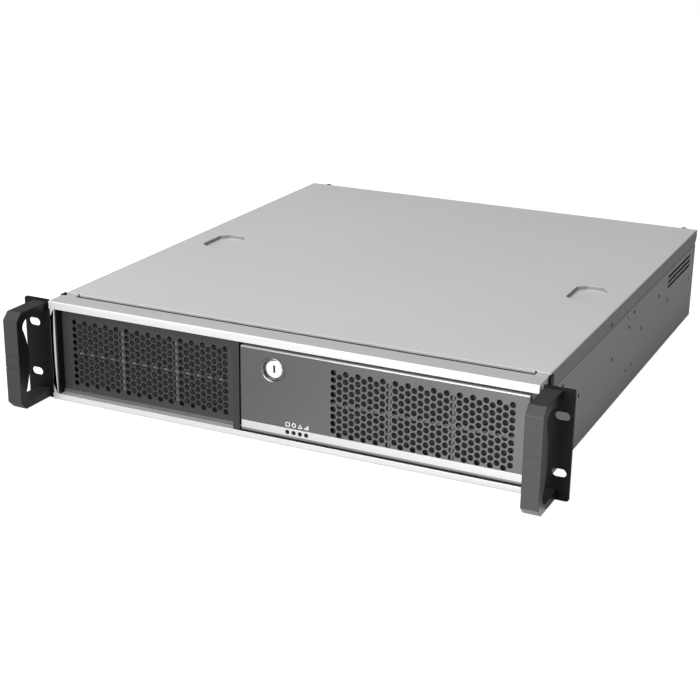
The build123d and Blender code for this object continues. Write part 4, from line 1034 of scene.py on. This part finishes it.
def screw_tree():
    """Points in, screw heads out, each turned by the points' own direction."""
    tree, given, result = tree_with("set_screws", {"Size": ("NodeSocketFloat", 1.0)})
    tree.interface.new_socket(name="Head", in_out="INPUT", socket_type="NodeSocketObject")
    head = tree.nodes.new("GeometryNodeObjectInfo")
    tree.links.new(given.outputs["Head"], head.inputs["Object"])
    normal = tree.nodes.new("GeometryNodeInputNamedAttribute")
    normal.data_type = "FLOAT_VECTOR"
    normal.inputs["Name"].default_value = "out"
    align = tree.nodes.new("FunctionNodeAlignRotationToVector")
    align.axis = "Z"
    tree.links.new(normal.outputs["Attribute"], align.inputs["Vector"])
    setter = tree.nodes.new("GeometryNodeInstanceOnPoints")
    tree.links.new(given.outputs["Geometry"], setter.inputs["Points"])
    tree.links.new(head.outputs["Geometry"], setter.inputs["Instance"])
    tree.links.new(align.outputs[0], setter.inputs["Rotation"])
    tree.links.new(given.outputs["Size"], setter.inputs["Scale"])
    real = tree.nodes.new("GeometryNodeRealizeInstances")
    tree.links.new(setter.outputs[0], real.inputs[0])
    finish = tree.nodes.new("GeometryNodeSetMaterial")
    tree.links.new(real.outputs[0], finish.inputs["Geometry"])
    tree.links.new(given.outputs["Material"], finish.inputs["Material"])
    tree.links.new(finish.outputs[0], result.inputs["Geometry"])
    return tree


def points_with_direction(name, places):
    """A mesh of loose points, each with the direction that its screw faces."""
    mesh = bpy.data.meshes.new(name)
    mesh.from_pydata([place for place, _ in places], [], [])
    out = mesh.attributes.new("out", "FLOAT_VECTOR", "POINT")
    for index, (_, direction) in enumerate(places):
        out.data[index].vector = direction
    item = bpy.data.objects.new(name, mesh)
    scene.collection.objects.link(item)
    return item


head_radius, head_height, cross_depth = 0.0028, 0.0011, 0.0008
head_object = bpy.data.objects.new("head", screw_head(head_radius, head_height, cross_depth))
scene.collection.objects.link(head_object)
set_screws = screw_tree()
print("nodes in the screw tree:", len(set_screws.nodes))

# %% Screws of the ears and handles
ear_side_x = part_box("ear_right")[0].x + 0.002
ear_screw_y, ear_screw_z = 0.0194, 0.034
handle_screw_x, handle_screw_z = 0.225, 0.0387
ear_screw_places = [((side * ear_side_x, ear_screw_y, z), (side, 0, 0))
                    for side in (-1, 1) for z in (-ear_screw_z, ear_screw_z)]
handle_screw_places = [((side * handle_screw_x, 0, z), (0, 1, 0))
                       for side in (-1, 1) for z in (-handle_screw_z, handle_screw_z)]


def screws(name, places, size, material, body, slot, *stands_for):
    """Sets a head on each place and adds them as one piece."""
    points = points_with_direction(name + "_points", places)
    mesh = run_tree(points, set_screws, {"Size": size, "Head": head_object, "Material": material}, name)
    return add_piece(name, mesh, material, body, slot, *stands_for)


screws("ear_screw_heads", ear_screw_places, 0.8, screw_steel, "chassis", "bright_screw", "ear_screws")
screws("handle_screw_heads", handle_screw_places, 1.0, screw_steel, "chassis", "bright_screw",
       "handle_screws")

# %% [markdown]
# Screws of the sides
#
# The sides carry small black screws that hold the cages inside. They have no place in a row, so
# their depths and heights are listed, once for both sides.

# %% Black screws of the sides
side_screw_places = [(0.053, 0.0239), (0.2421, 0.0144), (0.2562, 0.0242), (0.3445, 0.0145)]
cover_screw_places = [(0.1831, 0.0341)]
rivet_places = [(0.2358, 0.0243), (0.2592, -0.0252), (0.24, -0.0251), (0.4665, -0.0012)]


def both_sides(places):
    """Each place on the right side and on the left, facing outwards."""
    return [((side * tray_high.x, y, z), (side, 0, 0)) for side in (-1, 1) for y, z in places]


screws("side_screws", both_sides(side_screw_places), 0.6, black_plastic, "chassis", "black_steel")
screws("side_rivets", both_sides(rivet_places), 0.4, black_plastic, "chassis", "black_steel")
screws("cover_side_screws", both_sides(cover_screw_places), 0.6, black_plastic, "cover", "black_steel")
bpy.data.objects.remove(head_object)
print("on each side:", len(side_screw_places), "screws and", len(rivet_places), "rivets")

# %% [markdown]
# Behind the sheet
#
# Each rail hole ends in a dark press nut, which is turned like the lock's cup and laid on its side. A dark
# sheet covers the vents from inside as painted shade, so that nothing shines through the case.

# %% Press nuts
wall_inner_x = tray_high.x - 0.0012
touch_gap = 0.00005
nut_bore, nut_radius, nut_length = 0.0016, 0.0031, 0.004
rail_first_y, rail_pitch, rail_count, rail_z = 0.0982, 0.0942, 4, 0.0005
nuts = bmesh.new()
for side in (-1, 1):
    near, deep = side * (wall_inner_x - touch_gap), side * (wall_inner_x - nut_length)
    profile = [(nut_bore, near), (nut_radius, near), (nut_radius, deep), (nut_bore, deep)]
    for index in range(rail_count):
        nut = turned("rail_nut", profile, -rail_first_y - index * rail_pitch, rail_z)
        nut.transform(Matrix.Rotation(math.radians(-90), 4, "Z"))
        nuts.from_mesh(nut)
add_piece("rail_nuts", mesh_of(nuts, "rail_nuts"), black_plastic, "chassis", "black_steel")
print("press nuts:", 2 * rail_count)

# %% A dark sheet as painted shade behind the vents
shade_sheet_points = [(0.375, 0.0105), (0.467, 0.0105), (0.467, 0.0265), (0.375, 0.0265)]
shade_sheet_thickness = 0.0003
shade_sheet = bmesh.new()
for side in (-1, 1):
    near, deep = side * (wall_inner_x - touch_gap), side * (wall_inner_x - shade_sheet_thickness)
    shade_sheet.from_mesh(mesh_of(pushed_profile(shade_sheet_points, near, deep), "gauze_side"))
# Painted shade: the black sheet stands in for the dark inside of the case.
add_piece("vent_gauze", mesh_of(shade_sheet, "vent_gauze"), black_paint, "chassis", "black_steel")
print("gauze in mm:", round(shade_sheet_thickness * 1000, 1), "thick")

# %% Thumbscrews of the cover
thumb_low, thumb_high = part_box("cover_thumbscrews")


def thumbscrew(x, z):
    """A knurled head: every other point of its rim is pulled in a little."""
    shape = bmesh.new()
    steps = 48
    front_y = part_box("top_cover")[1].y
    radius = (thumb_high.z - thumb_low.z) / 2
    profile = [(0.55, 0.0), (0.55, 0.25), (0.96, 0.3), (1.0, 0.38), (1.0, 0.9), (0.93, 1.0)]
    length = thumb_high.y - front_y
    rings = []
    for share, depth in profile:
        knurl = 0.965 if 0.3 < depth < 1.0 else 1.0
        ridge = round_loop(x, z, radius * share, steps)
        groove = round_loop(x, z, radius * share * knurl, steps)
        knurled = [(groove if i % 2 else ridge)[i] for i in range(steps)]
        rings.append([shape.verts.new((across, front_y + depth * length, up)) for across, up in knurled])
    for first, second in zip(rings, rings[1:]):
        for i in range(steps):
            j = (i + 1) % steps
            shape.faces.new((first[i], first[j], second[j], second[i]))
    shape.faces.new(rings[0])
    shape.faces.new(rings[-1])
    bmesh.ops.recalc_face_normals(shape, faces=shape.faces)
    return mesh_of(shape, "thumbscrew")


thumb_shape = bmesh.new()
thumb_x = (thumb_high.x - thumb_low.x) / 2 - (thumb_high.z - thumb_low.z) / 2
for side in (-1, 1):
    thumb_shape.from_mesh(thumbscrew(side * thumb_x, (thumb_high.z + thumb_low.z) / 2))
thumb_mesh = mesh_of(thumb_shape, "thumbscrews")
add_piece("thumbscrews", thumb_mesh, screw_steel, "cover", "bright_screw", "cover_thumbscrews")
print("thumbscrews in mm:", round((thumb_high.z - thumb_low.z) * 1000, 1), "wide")
